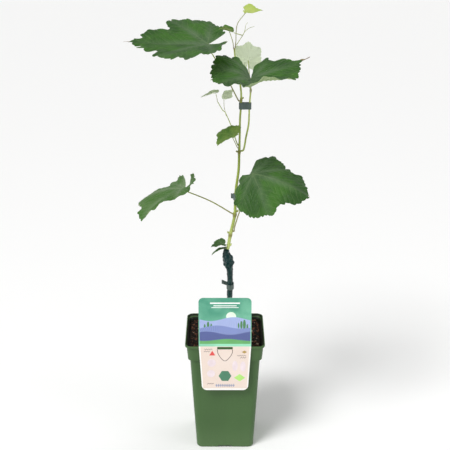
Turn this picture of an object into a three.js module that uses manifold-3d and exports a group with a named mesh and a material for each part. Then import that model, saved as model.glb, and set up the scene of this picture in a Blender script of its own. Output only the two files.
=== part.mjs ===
// A young grafted grapevine in a deep square nursery pot: a wax-dipped rootstock, one green shoot that
// splits in two, broad lobed leaves on thin stalks, three tape ties and a plant label hooked on the rim.
// Units are millimetres, +Z is up, and the origin is the middle of the pot's flat underside.
import * as THREE from 'three';
import { mergeVertices } from 'three/addons/utils/BufferGeometryUtils.js';
import Module from 'manifold-3d';

const wasm = await Module();
wasm.setup();

// ---------------------------------------------------------------- driving sizes
const GAP = 0.3;                       // clearance between pieces that touch on the real plant
const OVERCUT = 0.01;                  // how far a cutting solid passes the face it cuts
const JOIN_TOLERANCE = 0.02;           // how far a joined skin may move where it is tidied
const RIM_WIDTH = 120;                 // outer width of the pot's lip
const POT_HEIGHT = 182;
const POT_WALL = 2;
const LIP_HEIGHT = 4;
const COLLAR_HEIGHT = 26;              // the wider band under the lip, lip included
const BASE_WIDTH = 88;
const CORNER = 9;                      // radius of the pot's upright corners
const SOIL_TOP = 174;
const TRUNK_X = 7;                     // where the rootstock leaves the soil, right of the middle
const LABEL = { width: 78, foot: 70, height: 152, thick: 0.8, low: 110 };
const LEAF_THICKNESS = 0.011;          // share of a leaf's midrib length
const MIDRIB_RUN = 3;                  // how far a stalk runs on along the midrib, in stalk radii

const deg = THREE.MathUtils.degToRad;
const vec = ([x, y, z]) => new THREE.Vector3(x, y, z);

// ---------------------------------------------------------------- materials
const paint = (color, roughness) => new THREE.MeshStandardMaterial({ color, roughness, metalness: 0 });
const MATERIAL = {
  pot: paint('#4f6f46', 0.55),
  soil: paint('#2b211a', 0.95),
  wax: paint('#16494a', 0.3),
  shoot: paint('#a3b25e', 0.5),
  leaf: paint('#41702f', 0.6),
  leafYoung: paint('#b9c765', 0.6),
  leafPale: paint('#c4d3b2', 0.6),
  tie: paint('#76877a', 0.6),
  label: paint('#5fb99c', 0.4),
};

// ---------------------------------------------------------------- solids: join, cut and mesh
function toSolid(geometry) {
  const bare = geometry.clone();
  bare.deleteAttribute('normal');
  bare.deleteAttribute('uv');
  const merged = mergeVertices(bare, 1e-4);
  return new wasm.Manifold(new wasm.Mesh({
    numProp: 3,
    vertProperties: new Float32Array(merged.attributes.position.array),
    triVerts: new Uint32Array(merged.index.array),
  }));
}

function toGeometry(solid) {
  const mesh = solid.getMesh();
  const geometry = new THREE.BufferGeometry();
  geometry.setAttribute('position', new THREE.BufferAttribute(new Float32Array(mesh.vertProperties), 3));
  geometry.setIndex(new THREE.BufferAttribute(new Uint32Array(mesh.triVerts), 1));
  geometry.computeVertexNormals();
  return geometry;
}

// Where two skins cross, the needle-thin triangles are merged away.
function join(...geometries) {
  const whole = geometries.map(toSolid).reduce((a, b) => a.add(b));
  return toGeometry(whole.asOriginal().simplify(JOIN_TOLERANCE));
}

const cut = (body, ...tools) => toGeometry(tools.map(toSolid).reduce((a, b) => a.subtract(b), toSolid(body)));

function box(width, depth, height, x, y, z) {
  return new THREE.BoxGeometry(width, depth, height).translate(x, y, z);
}

// A closed solid from rings of points: each ring has the same count, and both ends close on one point.
function skin(rings, startPoint, endPoint) {
  const count = rings[0].length;
  const points = [startPoint, ...rings.flat(), endPoint];
  const at = (ring, i) => 1 + ring * count + (i % count);
  const last = points.length - 1;
  const index = [];
  for (let i = 0; i < count; i += 1) {
    index.push(0, at(0, i + 1), at(0, i));
    index.push(last, at(rings.length - 1, i), at(rings.length - 1, i + 1));
    for (let ring = 0; ring < rings.length - 1; ring += 1) {
      index.push(at(ring, i), at(ring, i + 1), at(ring + 1, i + 1));
      index.push(at(ring, i), at(ring + 1, i + 1), at(ring + 1, i));
    }
  }
  const geometry = new THREE.BufferGeometry().setFromPoints(points);
  geometry.setIndex(index);
  return geometry;
}

// ---------------------------------------------------------------- pot and soil
// One level ring of a square with rounded corners, anticlockwise seen from above.
function roundedSquare(half, corner, z, steps = 4) {
  const ring = [];
  for (let quarter = 0; quarter < 4; quarter += 1) {
    const start = quarter * Math.PI / 2;
    const [sx, sy] = [[1, 1], [-1, 1], [-1, -1], [1, -1]][quarter];
    for (let i = 0; i <= steps; i += 1) {
      const angle = start + (i / steps) * Math.PI / 2;
      const centre = half - corner;
      const [x, y] = [corner * Math.cos(angle), corner * Math.sin(angle)];
      ring.push(new THREE.Vector3(sx * centre + x, sy * centre + y, z));
    }
  }
  return ring;
}

// A square-sectioned solid: the profile is a list of [half width, height, corner radius].
function squareTurned(profile) {
  const rings = profile.map(([half, z, corner]) => roundedSquare(half, corner, z));
  const [first, last] = [profile[0], profile[profile.length - 1]];
  return skin(rings, new THREE.Vector3(0, 0, first[1]), new THREE.Vector3(0, 0, last[1]));
}

const rimHalf = RIM_WIDTH / 2;
const collarHalf = rimHalf - 2.3;                     // just under the lip
const collarFoot = collarHalf - 1.9;                  // at the bottom of the collar
const collarZ = POT_HEIGHT - COLLAR_HEIGHT;
const bodyTop = collarFoot - 3;                       // the step in under the collar
const waistZ = 87;
const waistHalf = 49;
const baseHalf = BASE_WIDTH / 2;

const innerHalf = (z) => (z >= collarZ + POT_WALL
  ? THREE.MathUtils.mapLinear(z, collarZ, POT_HEIGHT - LIP_HEIGHT, collarFoot, collarHalf)
  : (z >= waistZ
    ? THREE.MathUtils.mapLinear(z, waistZ, collarZ, waistHalf, bodyTop)
    : THREE.MathUtils.mapLinear(z, 0, waistZ, baseHalf, waistHalf))) - POT_WALL;

function potBody() {
  const outside = [
    [baseHalf - 1.5, 0, CORNER - 1.5], [baseHalf, 1.5, CORNER], [waistHalf, waistZ, CORNER],
    [bodyTop, collarZ, CORNER], [collarFoot, collarZ, CORNER],
    [collarHalf, POT_HEIGHT - LIP_HEIGHT, CORNER],
    [rimHalf, POT_HEIGHT - LIP_HEIGHT, CORNER + 1.5], [rimHalf, POT_HEIGHT - 0.8, CORNER + 1.5],
    [rimHalf - 0.8, POT_HEIGHT, CORNER + 0.7],
  ];
  const inside = [POT_HEIGHT, collarZ + POT_WALL, collarZ + POT_WALL - 0.4, waistZ, POT_WALL]
    .map((z) => [innerHalf(z), z, CORNER - POT_WALL]);
  return squareTurned([...outside, ...inside]);
}

// Notches that make four corner feet, drain holes in the floor, and a small slot in the lip on two sides.
function potCuts() {
  const cuts = [];
  const footNotch = { width: 21.5, height: 3, depth: 14 };
  const drain = { radius: 5, reach: baseHalf - 17 };
  const lipSlot = { width: 7, height: 1.6, depth: 12 };
  for (let side = 0; side < 4; side += 1) {
    const turn = side * Math.PI / 2;
    const notch = box(footNotch.width, footNotch.depth, footNotch.height,
      0, -baseHalf, footNotch.height / 2 - OVERCUT);
    const hole = new THREE.CylinderGeometry(drain.radius, drain.radius, POT_WALL * 4, 12)
      .rotateX(Math.PI / 2)
      .translate(drain.reach, drain.reach, 0);
    cuts.push(notch.rotateZ(turn), hole.rotateZ(turn));
  }
  for (const side of [-1, 1]) {
    cuts.push(box(lipSlot.depth, lipSlot.width, lipSlot.height,
      side * rimHalf, 0, POT_HEIGHT - lipSlot.height / 2 + OVERCUT));
  }
  return cuts;
}

function soilBody() {
  const inset = (z, more = 0) => [innerHalf(z) - GAP - more, z, CORNER - POT_WALL];
  return squareTurned([
    inset(POT_WALL + GAP), inset(waistZ), inset(collarZ + POT_WALL - 0.8), inset(SOIL_TOP - 1.5),
    inset(SOIL_TOP, 2), [30, SOIL_TOP, 12],
  ]);
}

// ---------------------------------------------------------------- limbs
// A limb is { points, radii, swell }: a smooth line through a few points, radii as [share of the length,
// radius] steps, and swellings at its joints as [share of the length, extra radius, half length].
const limbCurve = ({ points }) => new THREE.CatmullRomCurve3(points.map(vec), false, 'catmullrom', 0.5);

function limbRadius({ radii, swell = [] }, share, length) {
  const next = Math.max(1, radii.findIndex(([at]) => at >= share - 1e-9));
  const [[t0, r0], [t1, r1]] = [radii[next - 1], radii[next]];
  const bulge = swell.reduce((sum, [at, extra, half]) => (
    sum + extra * Math.exp(-(((share - at) * length / half) ** 2))), 0);
  return THREE.MathUtils.mapLinear(share, t0, t1, r0, r1) + bulge;
}

function limbBody(limb) {
  const { sides = 6, steps = 10, levelFoot = false } = limb;
  const curve = limbCurve(limb);
  const length = curve.getLength();
  const frames = curve.computeFrenetFrames(steps, false);
  if (levelFoot) {
    frames.normals[0].set(1, 0, 0);
    frames.binormals[0].set(0, 1, 0);
  }
  const rings = [];
  for (let step = 0; step <= steps; step += 1) {
    const centre = curve.getPointAt(step / steps);
    const radius = limbRadius(limb, step / steps, length);
    const ring = [];
    for (let i = 0; i < sides; i += 1) {
      const angle = (i / sides) * 2 * Math.PI;
      ring.push(centre.clone()
        .addScaledVector(frames.normals[step], radius * Math.cos(angle))
        .addScaledVector(frames.binormals[step], radius * Math.sin(angle)));
    }
    rings.push(ring);
  }
  return skin(rings, curve.getPointAt(0), curve.getPointAt(1));
}

// Where a stalk leaves a limb: the point just clear of its bark at a height and a compass bearing
// (0 is +X, 90 is +Y), and a second point square out from the bark.
function leaving(limb, height, bearing, run = 2) {
  const curve = limbCurve(limb);
  let [low, high] = [0, 1];
  for (let i = 0; i < 30; i += 1) {
    const middle = (low + high) / 2;
    if (curve.getPointAt(middle).z < height) low = middle;
    else high = middle;
  }
  const along = curve.getTangentAt(low);
  const out = new THREE.Vector3(Math.cos(deg(bearing)), Math.sin(deg(bearing)), 0);
  out.addScaledVector(along, -out.dot(along)).normalize();
  const clear = limbRadius(limb, low, curve.getLength()) + GAP;
  const root = curve.getPointAt(low).addScaledVector(out, clear);
  return [root, root.clone().addScaledVector(out, run)].map((point) => point.toArray());
}

const TRUNK_TOP = 315.5;
const FORK = 469.5;                    // height of the joint where the shoot splits in two
const LIMBS = {
  trunk: {
    points: [[TRUNK_X, 0, SOIL_TOP + GAP], [TRUNK_X, 0, 200], [TRUNK_X, 0, 236], [7.8, 0, 258], [7.1, 0, 280],
      [3.6, 0, 302], [1.8, 0, 309], [2.6, 0, TRUNK_TOP]],
    radii: [[0, 6], [0.06, 4.8], [0.2, 4.3], [0.68, 4.3], [0.78, 5.3], [0.84, 7.6], [0.92, 6.3],
      [0.955, 4.9], [1, 4.1]],
    sides: 12, steps: 20, levelFoot: true, material: 'wax',
  },
  shoot_lower: {
    points: [[4.3, 0, TRUNK_TOP + GAP], [8.2, 0, 339], [14.4, 0, 369], [15.6, 0, 403], [19.9, 0, 440],
      [20.6, 0, FORK]],
    radii: [[0, 2.4], [0.15, 2.5], [0.35, 2.1], [1, 1.7]],
    swell: [[0.15, 0.5, 3], [0.36, 0.9, 3.5], [0.98, 0.7, 3]],
    sides: 8, steps: 26,
  },
  shoot_left: {
    points: [[20.7, 0, FORK + GAP], [21.2, 0, 488], [21.6, 0, 516], [22.8, 0, 535], [22.4, 0, 560],
      [14.8, 0, 600], [13, 0, 617]],
    radii: [[0, 1.8], [0.1, 1.45], [0.6, 1.3], [1, 1]], swell: [[0.5, 0.6, 3], [1, 0.4, 3]],
    sides: 7, steps: 20,
  },
  shoot_right: {
    points: [[23.5, 0, 468.2], [27, 0, 470], [30.3, 0, 488], [34, 0, 508], [34.9, 0, 532], [36.8, 0, 560]],
    radii: [[0, 1.3], [0.12, 1.35], [1, 1.15]], swell: [[0.97, 0.6, 3]],
    sides: 7, steps: 15,
  },
};
LIMBS.side_twig = {
  points: [...leaving(LIMBS.shoot_left, 478, 190, 1.2), [8.6, 3, 505], [0.6, 2, 523.8], [-3.4, 1, 528],
    [-10.8, 0, 541]],
  radii: [[0, 1], [0.1, 0.75], [1, 0.5]], steps: 14,
};
LIMBS.bud = {
  points: leaving(LIMBS.shoot_lower, 323, -60, 1.6).concat([[9.8, -5.5, 326.5]]),
  radii: [[0, 1], [0.5, 1.7], [1, 0.4]], steps: 5,
};

// ---------------------------------------------------------------- leaves
// A leaf's outline in polar form: for each half, [degrees from the tip, reach as a share of the length]
// at its lobes and notches. Between them it eases, and it stops at the notch round the stalk: each half
// at its own end, in degrees from the tip.

// The common outline of a lobed vine leaf, with its tip, upper, side and basal lobes scaled.
const lobed = (tip, upper, side, base) => [
  [0, tip], [25, 0.8 * (tip + upper) / 2], [47, 0.87 * upper], [72, 0.7 * (upper + side) / 2],
  [97, 0.73 * side], [124, 0.58 * (side + base) / 2], [146, 0.53 * base], [168, 0.36 * base],
];

function reach(leaf, theta) {
  const half = theta >= 0 ? leaf.right : leaf.left;
  const angle = Math.min(Math.abs(THREE.MathUtils.radToDeg(theta)), half.at(-1)[0]);
  const next = Math.max(1, half.findIndex(([at]) => at >= angle - 1e-6));
  const [[a0, r0], [a1, r1]] = [half[next - 1], half[next]];
  return r0 + (r1 - r0) * (1 - Math.cos((Math.PI * (angle - a0)) / (a1 - a0))) / 2;
}

// The bent surface of a blade. The midrib droops along its length, each half folds up from it and
// curls, the rim waves, and stretches of the rim may lift, each given as [degrees from the tip, height].
// theta runs from the tip, positive to the right, and s runs from the stalk (0) to the rim (1).
function bladePoint(leaf, theta, s, outer) {
  const across = s * outer * Math.sin(theta) * leaf.width;
  const along = s * outer * Math.cos(theta);
  const bend = deg(along >= 0 ? leaf.droop : leaf.back) || 1e-5;
  const tilt = bend * along;
  const reachAlong = Math.sin(tilt) / bend;
  const sink = -(1 - Math.cos(tilt)) / bend;
  const rightHalf = across >= 0;
  const fold = deg((rightHalf ? leaf.foldRight : leaf.foldLeft) + leaf.grow * along);
  const curl = deg(rightHalf ? leaf.curlRight : leaf.curlLeft) || 1e-5;
  const distance = Math.abs(across);
  let out = Math.sign(across) * (Math.sin(fold + curl * distance) - Math.sin(fold)) / curl;
  let up = (Math.cos(fold) - Math.cos(fold + curl * distance)) / curl;
  up += leaf.wave * s * s * Math.cos(5 * theta + deg(leaf.phase));
  for (const [at, height] of leaf.lifts) {
    up += height * s * s * Math.exp(-(((theta - deg(at)) / deg(30)) ** 2));
  }
  const twist = deg(leaf.twist) * along;
  [out, up] = [out * Math.cos(twist) - up * Math.sin(twist), out * Math.sin(twist) + up * Math.cos(twist)];
  return new THREE.Vector3(out, reachAlong + Math.sin(tilt) * up, sink + Math.cos(tilt) * up);
}

// Turns a blade's own axes (right, towards the tip, out of the upper face) into the plant's.
function bladeFrame(leaf) {
  const [yaw, pitch, roll] = [deg(leaf.yaw), deg(leaf.pitch), deg(leaf.roll)];
  const forward = new THREE.Vector3(
    Math.cos(yaw) * Math.cos(pitch), Math.sin(yaw) * Math.cos(pitch), Math.sin(pitch));
  const level = new THREE.Vector3(Math.sin(yaw), -Math.cos(yaw), 0);
  const upright = new THREE.Vector3().crossVectors(level, forward);
  const right = level.clone().multiplyScalar(Math.cos(roll)).addScaledVector(upright, Math.sin(roll));
  const normal = upright.clone().multiplyScalar(Math.cos(roll)).addScaledVector(level, -Math.sin(roll));
  return new THREE.Matrix4().makeBasis(right, forward, normal)
    .scale(new THREE.Vector3(leaf.length, leaf.length, leaf.length))
    .setPosition(vec(leaf.at));
}

// The blade as a closed sheet: an upper and a lower face on a fan of rings, joined round the rim.
function blade(leaf) {
  const spokes = 2 * leaf.teeth;
  const [rightEnd, leftEnd] = leaf.ends.map(deg);
  const ringCount = leaf.rings;
  const thickness = Math.max(LEAF_THICKNESS, 0.45 / leaf.length);
  const frame = bladeFrame(leaf);
  const step = 1e-3;
  const points = [];
  for (const face of [1, -1]) {
    for (let ring = 0; ring <= ringCount; ring += 1) {
      for (let spoke = 0; spoke <= spokes; spoke += 1) {
        const theta = -leftEnd + ((rightEnd + leftEnd) * spoke) / spokes;
        const tooth = 1 + leaf.tooth * (spoke % 2 === 0 ? -0.5 : 0.5);
        const outer = reach(leaf, theta) * tooth;
        const s = ring / ringCount;
        const centre = bladePoint(leaf, theta, s, outer);
        const base = Math.max(s, 0.05);
        const middle = bladePoint(leaf, theta, base, outer);
        const outward = bladePoint(leaf, theta, base + step, outer).sub(middle);
        const around = bladePoint(leaf, theta + step, base, outer).sub(middle);
        const normal = new THREE.Vector3().crossVectors(around, outward).normalize();
        const lift = s === 0 ? new THREE.Vector3(0, 0, 1) : normal;
        points.push(centre.addScaledVector(lift, face * thickness / 2).applyMatrix4(frame));
      }
    }
  }
  const row = spokes + 1;
  const sheet = row * (ringCount + 1);
  const index = [];
  const quad = (a, b, c, d) => index.push(a, c, b, a, d, c);
  for (let ring = 0; ring < ringCount; ring += 1) {
    for (let spoke = 0; spoke < spokes; spoke += 1) {
      const a = ring * row + spoke;
      quad(a, a + row, a + row + 1, a + 1);
      quad(sheet + a, sheet + a + 1, sheet + a + row + 1, sheet + a + row);
    }
    const [low, high] = [ring * row, ring * row + spokes];
    quad(low, low + sheet, low + row + sheet, low + row);
    quad(high, high + row, high + row + sheet, high + sheet);
  }
  const rim = ringCount * row;
  for (let spoke = 0; spoke < spokes; spoke += 1) {
    quad(rim + spoke, rim + spoke + sheet, rim + spoke + 1 + sheet, rim + spoke + 1);
  }
  const geometry = new THREE.BufferGeometry().setFromPoints(points);
  geometry.setIndex(index);
  return dropSlivers(geometry);
}

// The fan's inner ring is one point: its zero-area triangles go once equal vertices are merged.
function dropSlivers(geometry) {
  const merged = mergeVertices(geometry, 1e-5);
  const kept = [];
  const source = merged.index.array;
  for (let i = 0; i < source.length; i += 3) {
    const [a, b, c] = [source[i], source[i + 1], source[i + 2]];
    if (a !== b && b !== c && c !== a) kept.push(a, b, c);
  }
  merged.setIndex(kept);
  return merged;
}

// A leaf is one node: its stalk, swollen where it leaves the shoot, runs a little way on along the
// midrib, and the blade is fused on it.
function leafBody(leaf) {
  const end = new THREE.Vector3(0, MIDRIB_RUN * leaf.stalk / leaf.length, 0).applyMatrix4(bladeFrame(leaf));
  const stalk = limbBody({
    points: [...leaf.stalkPath, end.toArray()],
    radii: [[0, leaf.stalk * 1.5], [0.06, leaf.stalk], [1, leaf.stalk * 0.85]],
    steps: leaf.stalkSteps,
  });
  return join(stalk, blade(leaf));
}

const FLAT_LEAF = {
  width: 1, droop: 10, back: 10, foldLeft: 8, foldRight: 8, curlLeft: 0, curlRight: 0, twist: 0, grow: 0,
  wave: 0.03, phase: 0, lifts: [], right: lobed(1, 1, 1, 1), left: lobed(1, 1, 1, 1), ends: [168, 168],
  teeth: 28, tooth: 0.05, rings: 3, stalk: 0.9, stalkSteps: 8, material: 'leaf',
};

const LEAVES = {
  leaf_upper_left: {
    at: [-24.2, 0, 622.3], length: 95, width: 1.04, yaw: 180, pitch: -1, roll: 20, droop: -4, back: -48,
    foldLeft: 25, foldRight: 16, curlLeft: -11, curlRight: -44, twist: 7, grow: -1, wave: 0.012, phase: -38,
    right: [[0, 1.12], [12, 0.98], [21, 0.86], [28, 0.66], [44, 0.84], [52, 0.84], [70, 0.7], [96, 0.58],
      [114, 0.47], [134, 0.37], [145, 0.31]],
    left: [[0, 1.12], [11, 1.06], [20, 0.95], [28, 0.83], [40, 1], [57, 0.96], [73, 0.93], [89, 0.7],
      [98, 0.79], [112, 0.66], [124, 0.45], [150, 0.32], [168, 0.15]],
    ends: [145, 168], stalkSteps: 12,
    stalkPath: [...leaving(LIMBS.shoot_left, 542.5, 175), [6, 5, 567], [-12.4, 6, 598.7]],
  },
  leaf_centre: {
    at: [35.3, -50, 583.7], length: 87, width: 0.95, yaw: -89, pitch: -13, roll: -16, droop: -14, back: 5,
    foldLeft: 5, foldRight: 52, curlLeft: -23, curlRight: -80, twist: -2, grow: -11, wave: 0.03, phase: 121,
    lifts: [[-10, 0.2], [-50, 0.1]],
    right: [[0, 0.84], [14, 0.66], [28, 0.58], [36, 0.76], [67, 0.71], [110, 0.69], [122, 0.7], [151, 0.66],
      [168, 0.42]],
    left: [[0, 0.84], [25, 0.78], [50, 0.85], [77, 0.83], [104, 0.86], [124, 0.72], [144, 0.62], [168, 0.42]],
    stalkPath: [...leaving(LIMBS.shoot_right, 556, -90), [36.3, -16, 562], [35.6, -38, 574]],
  },
  leaf_right: {
    at: [40, -30, 441.8], length: 88.5, width: 0.9, yaw: -44, pitch: 8, roll: -41, droop: 55, back: 46,
    foldLeft: -25, foldRight: -13, curlLeft: 2, curlRight: -22, twist: 9, grow: -4, wave: 0.04, phase: -163,
    lifts: [[-55, -0.1], [-170, -0.25]], ends: [168, 176],
    right: [[0, 1.05], [13, 0.98], [24, 0.84], [34, 0.81], [41, 0.9], [62, 0.82], [72, 0.79], [97, 0.7],
      [116, 0.62], [138, 0.55], [154, 0.36], [168, 0.22]],
    left: [[0, 1.05], [24, 0.98], [43, 0.66], [65, 0.63], [92, 0.67], [105, 0.57], [125, 0.55], [145, 0.44],
      [160, 0.36], [176, 0.24]],
    stalk: 1,
    stalkPath: [...leaving(LIMBS.shoot_lower, 345, -20, 1.6), [14.4, -3.8, 352], [21, -8, 376],
      [32, -20, 410]],
  },
  leaf_left: {
    at: [-59.5, -10, 412.5], length: 72, width: 1.08, yaw: -144, pitch: -6, roll: -7, droop: 28, back: -129,
    foldLeft: 32, foldRight: 19, curlLeft: -12, curlRight: -66, twist: 4, grow: -6, wave: 0.02, phase: 111,
    lifts: [[146, 0.14], [-165, 0.15], [-62, -0.14]], ends: [146, 160],
    right: lobed(1.15, 1.18, 0.77, 0.6),
    left: [[0, 1.1], [25, 0.8], [47, 0.72], [62, 0.7], [80, 0.48], [100, 0.36], [124, 0.42], [146, 0.4],
      [160, 0.34]],
    stalk: 0.75, stalkPath: [...leaving(LIMBS.shoot_lower, 372, 185), [-22, -5, 393]],
  },
  leaf_side_small: {
    at: [12.2, -14, 493], length: 29.5, width: 0.93, yaw: 180, pitch: -18, roll: 19, droop: 32, back: -44,
    foldLeft: 35, foldRight: 40, curlLeft: -15, curlRight: -58, twist: -1, grow: -6, wave: 0.01, phase: -53,
    right: lobed(0.91, 1.2, 0.96, 1.25), left: lobed(0.91, 0.79, 0.98, 1.11), teeth: 20, rings: 2, stalk: 0.6,
    stalkPath: [...leaving(LIMBS.shoot_left, 473.5, 215, 1.5)], material: 'leafYoung',
  },
  leaf_top_young: {
    at: [29.8, 0, 669.6], length: 21.5, width: 0.95, yaw: -6, pitch: -2, roll: -28, droop: -3, back: 0,
    foldLeft: 12, foldRight: 18, wave: 0.02,
    right: [[0, 1], [12, 0.78], [25, 0.68], [47, 0.66], [72, 0.64], [97, 0.5], [124, 0.34], [168, 0.12]],
    left: [[0, 1], [12, 0.76], [25, 0.64], [47, 0.62], [72, 0.6], [97, 0.5], [124, 0.36], [168, 0.12]],
    teeth: 22, tooth: 0.05, rings: 2, stalk: 0.55, stalkSteps: 14,
    stalkPath: [[14, 0, 617.7], [15.2, 0, 626], [15.6, 0, 640], [18.4, 0, 653]], material: 'leafYoung',
  },
  leaf_folded_young: {
    at: [7.5, 5, 639.5], length: 16.5, width: 0.75, yaw: 172, pitch: 20, roll: 10, droop: 20, back: 0,
    foldLeft: 50, foldRight: 42, wave: 0, right: lobed(1, 1, 0.8, 0.6), left: lobed(1, 1, 0.8, 0.6),
    teeth: 12, tooth: 0.05, rings: 2, stalk: 0.55, stalkSteps: 6,
    stalkPath: [[11.9, 0, 617.7], [10.8, 1.5, 626]], material: 'leafYoung',
  },
  leaf_back_pale: {
    at: [33, 24, 594], length: 31, width: 0.83, yaw: -90, pitch: 74, roll: 0, droop: -15, back: 0,
    foldLeft: 6, foldRight: 6, wave: 0.02, right: lobed(0.92, 1.14, 1, 1), left: lobed(0.92, 1.08, 1, 1),
    teeth: 20, rings: 2, stalk: 0.7,
    stalkPath: [...leaving(LIMBS.shoot_right, 552, 90), [35, 18, 574]], material: 'leafPale',
  },
  leaf_twig_upper: {
    at: [-2.6, 9, 544.5], length: 18, width: 0.66, yaw: 8, pitch: 38, roll: -65, droop: 0, back: 0,
    right: lobed(1, 1, 0.3, 0.2), left: lobed(1, 0.8, 0.3, 0.2), foldLeft: 6, foldRight: 6, wave: 0.02,
    teeth: 10, rings: 2, stalk: 0.4, stalkSteps: 6,
    stalkPath: [...leaving(LIMBS.side_twig, 520, 120, 1), [-1.2, 7, 532]], material: 'leafPale',
  },
  leaf_twig_end: {
    at: [-12, 0, 553.5], length: 22, width: 0.6, yaw: 178, pitch: -12, roll: 0, droop: 12, back: 0,
    right: lobed(1.05, 0.8, 0.7, 0.4), left: lobed(1.05, 0.6, 0.5, 0.3), foldLeft: 20, foldRight: 30,
    wave: 0.02, teeth: 10, rings: 2, stalk: 0.4, stalkSteps: 5,
    stalkPath: [[-10.9, 0, 541.8], [-11.6, 0, 546]], material: 'leafPale',
  },
  leaf_basal: {
    at: [-2.6, -6.5, 325.5], length: 18, width: 0.68, yaw: 185, pitch: 6, roll: 16, droop: 45, back: 0,
    right: lobed(1, 1, 1, 0.3), left: lobed(1, 1, 1, 0.3), foldLeft: 20, foldRight: 25, wave: 0.05,
    teeth: 12, tooth: 0.22, rings: 2, stalk: 0.7, stalkSteps: 5,
    stalkPath: leaving(LIMBS.shoot_lower, 322, 215, 1.4),
  },
  leaf_basal_low: {
    at: [-2.5, -7, 318.4], length: 20, width: 0.7, yaw: 190, pitch: -8, roll: 0, droop: 40, back: 0,
    right: lobed(1, 0.5, 0.36, 0.6), left: lobed(1, 0.5, 0.36, 0.6), foldLeft: 20, foldRight: 20, wave: 0,
    teeth: 7, tooth: 0, rings: 2, stalk: 0.5, stalkSteps: 4,
    stalkPath: leaving(LIMBS.shoot_lower, 319, 235, 1),
  },
};

// ---------------------------------------------------------------- ties
// A snug loop of tape round one or two stems: a flat band with round ends and a short loose end.
function tapeTie({ from, to, inner, height, z, tail, tailRise = 0 }) {
  const wall = 0.7;
  const outline = (radius) => {
    const shape = new THREE.Shape();
    shape.absarc(to[0], to[1], radius, -Math.PI / 2, Math.PI / 2, false);
    shape.absarc(from[0], from[1], radius, Math.PI / 2, (3 * Math.PI) / 2, false);
    shape.closePath();
    return shape;
  };
  const shape = outline(inner + wall);
  shape.holes.push(outline(inner));
  const band = new THREE.ExtrudeGeometry(shape, { depth: height, bevelEnabled: false, curveSegments: 8 })
    .translate(0, 0, z - height / 2);
  const loose = box(tail + wall, 2 * wall, height * 0.6,
    from[0] - inner - wall / 2 - tail / 2, from[1], z + tailRise);
  return join(band, loose);
}

// ---------------------------------------------------------------- label
// A plastic plate that tapers to its foot, with a slot that the lip shows through and a hook over it.
function potLabel() {
  const { width, foot, height, thick, low } = LABEL;
  const [topCorner, footCorner] = [7, 8];
  const face = -rimHalf - GAP;
  const shape = new THREE.Shape();
  const half = (z) => THREE.MathUtils.mapLinear(z, 0, POT_HEIGHT - low, foot / 2, width / 2);
  shape.moveTo(-foot / 2 + footCorner, 0);
  shape.lineTo(foot / 2 - footCorner, 0);
  shape.quadraticCurveTo(foot / 2, 0, half(footCorner), footCorner);
  shape.lineTo(width / 2, POT_HEIGHT - low);
  shape.lineTo(width / 2, height - topCorner);
  shape.quadraticCurveTo(width / 2, height, width / 2 - topCorner, height);
  shape.lineTo(-width / 2 + topCorner, height);
  shape.quadraticCurveTo(-width / 2, height, -width / 2, height - topCorner);
  shape.lineTo(-width / 2, POT_HEIGHT - low);
  shape.lineTo(-half(footCorner), footCorner);
  shape.quadraticCurveTo(-foot / 2, 0, -foot / 2 + footCorner, 0);
  const plate = new THREE.ExtrudeGeometry(shape, { depth: thick, bevelEnabled: false, curveSegments: 5 })
    .rotateX(Math.PI / 2)
    .translate(0, face, low);
  const slot = { width: 23, height: 4.2 };
  const hookWidth = 19;
  const hookBack = -innerHalf(SOIL_TOP) + GAP;
  const hookTop = POT_HEIGHT + GAP;
  const hookDrop = POT_HEIGHT - SOIL_TOP - 1;
  const bridge = box(hookWidth, hookBack + thick - (face - thick), thick,
    0, (hookBack + thick + face - thick) / 2, hookTop + thick / 2);
  const tongue = box(hookWidth, thick, hookDrop + thick,
    0, hookBack + thick / 2, hookTop + thick - (hookDrop + thick) / 2);
  const window = box(slot.width, thick * 4, slot.height,
    0, face, POT_HEIGHT + GAP - slot.height / 2 - OVERCUT);
  return join(cut(plate, window), bridge, tongue);
}

// ---------------------------------------------------------------- the plant
const plant = new THREE.Group();

function add(name, geometry, material) {
  const mesh = new THREE.Mesh(geometry, MATERIAL[material]);
  mesh.name = name;
  plant.add(mesh);
}

add('pot', cut(potBody(), ...potCuts()), 'pot');
add('soil', soilBody(), 'soil');

for (const [name, limb] of Object.entries(LIMBS)) {
  add(name, limbBody(limb), limb.material ?? 'shoot');
}

// The young tendril at the top: one thread that forks in three, the last branch back over the tip's stalks.
const thread = (...points) => limbBody({ points, radii: [[0, 0.5], [1, 0.35]], sides: 5, steps: 7 });
add('tendril', join(
  thread([15.9, 0, 621.5], [18, 0, 624.5], [25, 0, 635.4]),
  thread([24.6, 0, 634.8], [27.5, 0, 641], [29, 0, 649], [31.5, 0, 653]),
  thread([24.6, 0, 634.8], [28, 0, 640.5], [34, 0, 645], [41, 0, 647.5]),
  thread([24.8, 0, 634.8], [21, -1.6, 636.2], [16.5, -2.2, 637.6], [12.4, -2.2, 639]),
), 'shoot');

for (const [name, leaf] of Object.entries(LEAVES)) {
  const full = { ...FLAT_LEAF, ...leaf };
  add(name, leafBody(full), full.material);
}

const TIES = {
  tie_lower: { from: [7.9, 0], to: [7.9, 0], inner: 4.9, height: 8, z: 256, tail: 8, tailRise: 4 },
  tie_middle: { from: [15.4, 0], to: [15.4, 0], inner: 2.7, height: 9.5, z: 398, tail: 3.5 },
  tie_upper: { from: [22.8, 0], to: [34.9, 0], inner: 2.2, height: 9.5, z: 534.5, tail: 1 },
};
for (const [name, tie] of Object.entries(TIES)) {
  add(name, tapeTie(tie), 'tie');
}
add('label', potLabel(), 'label');

export default plant;
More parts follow.
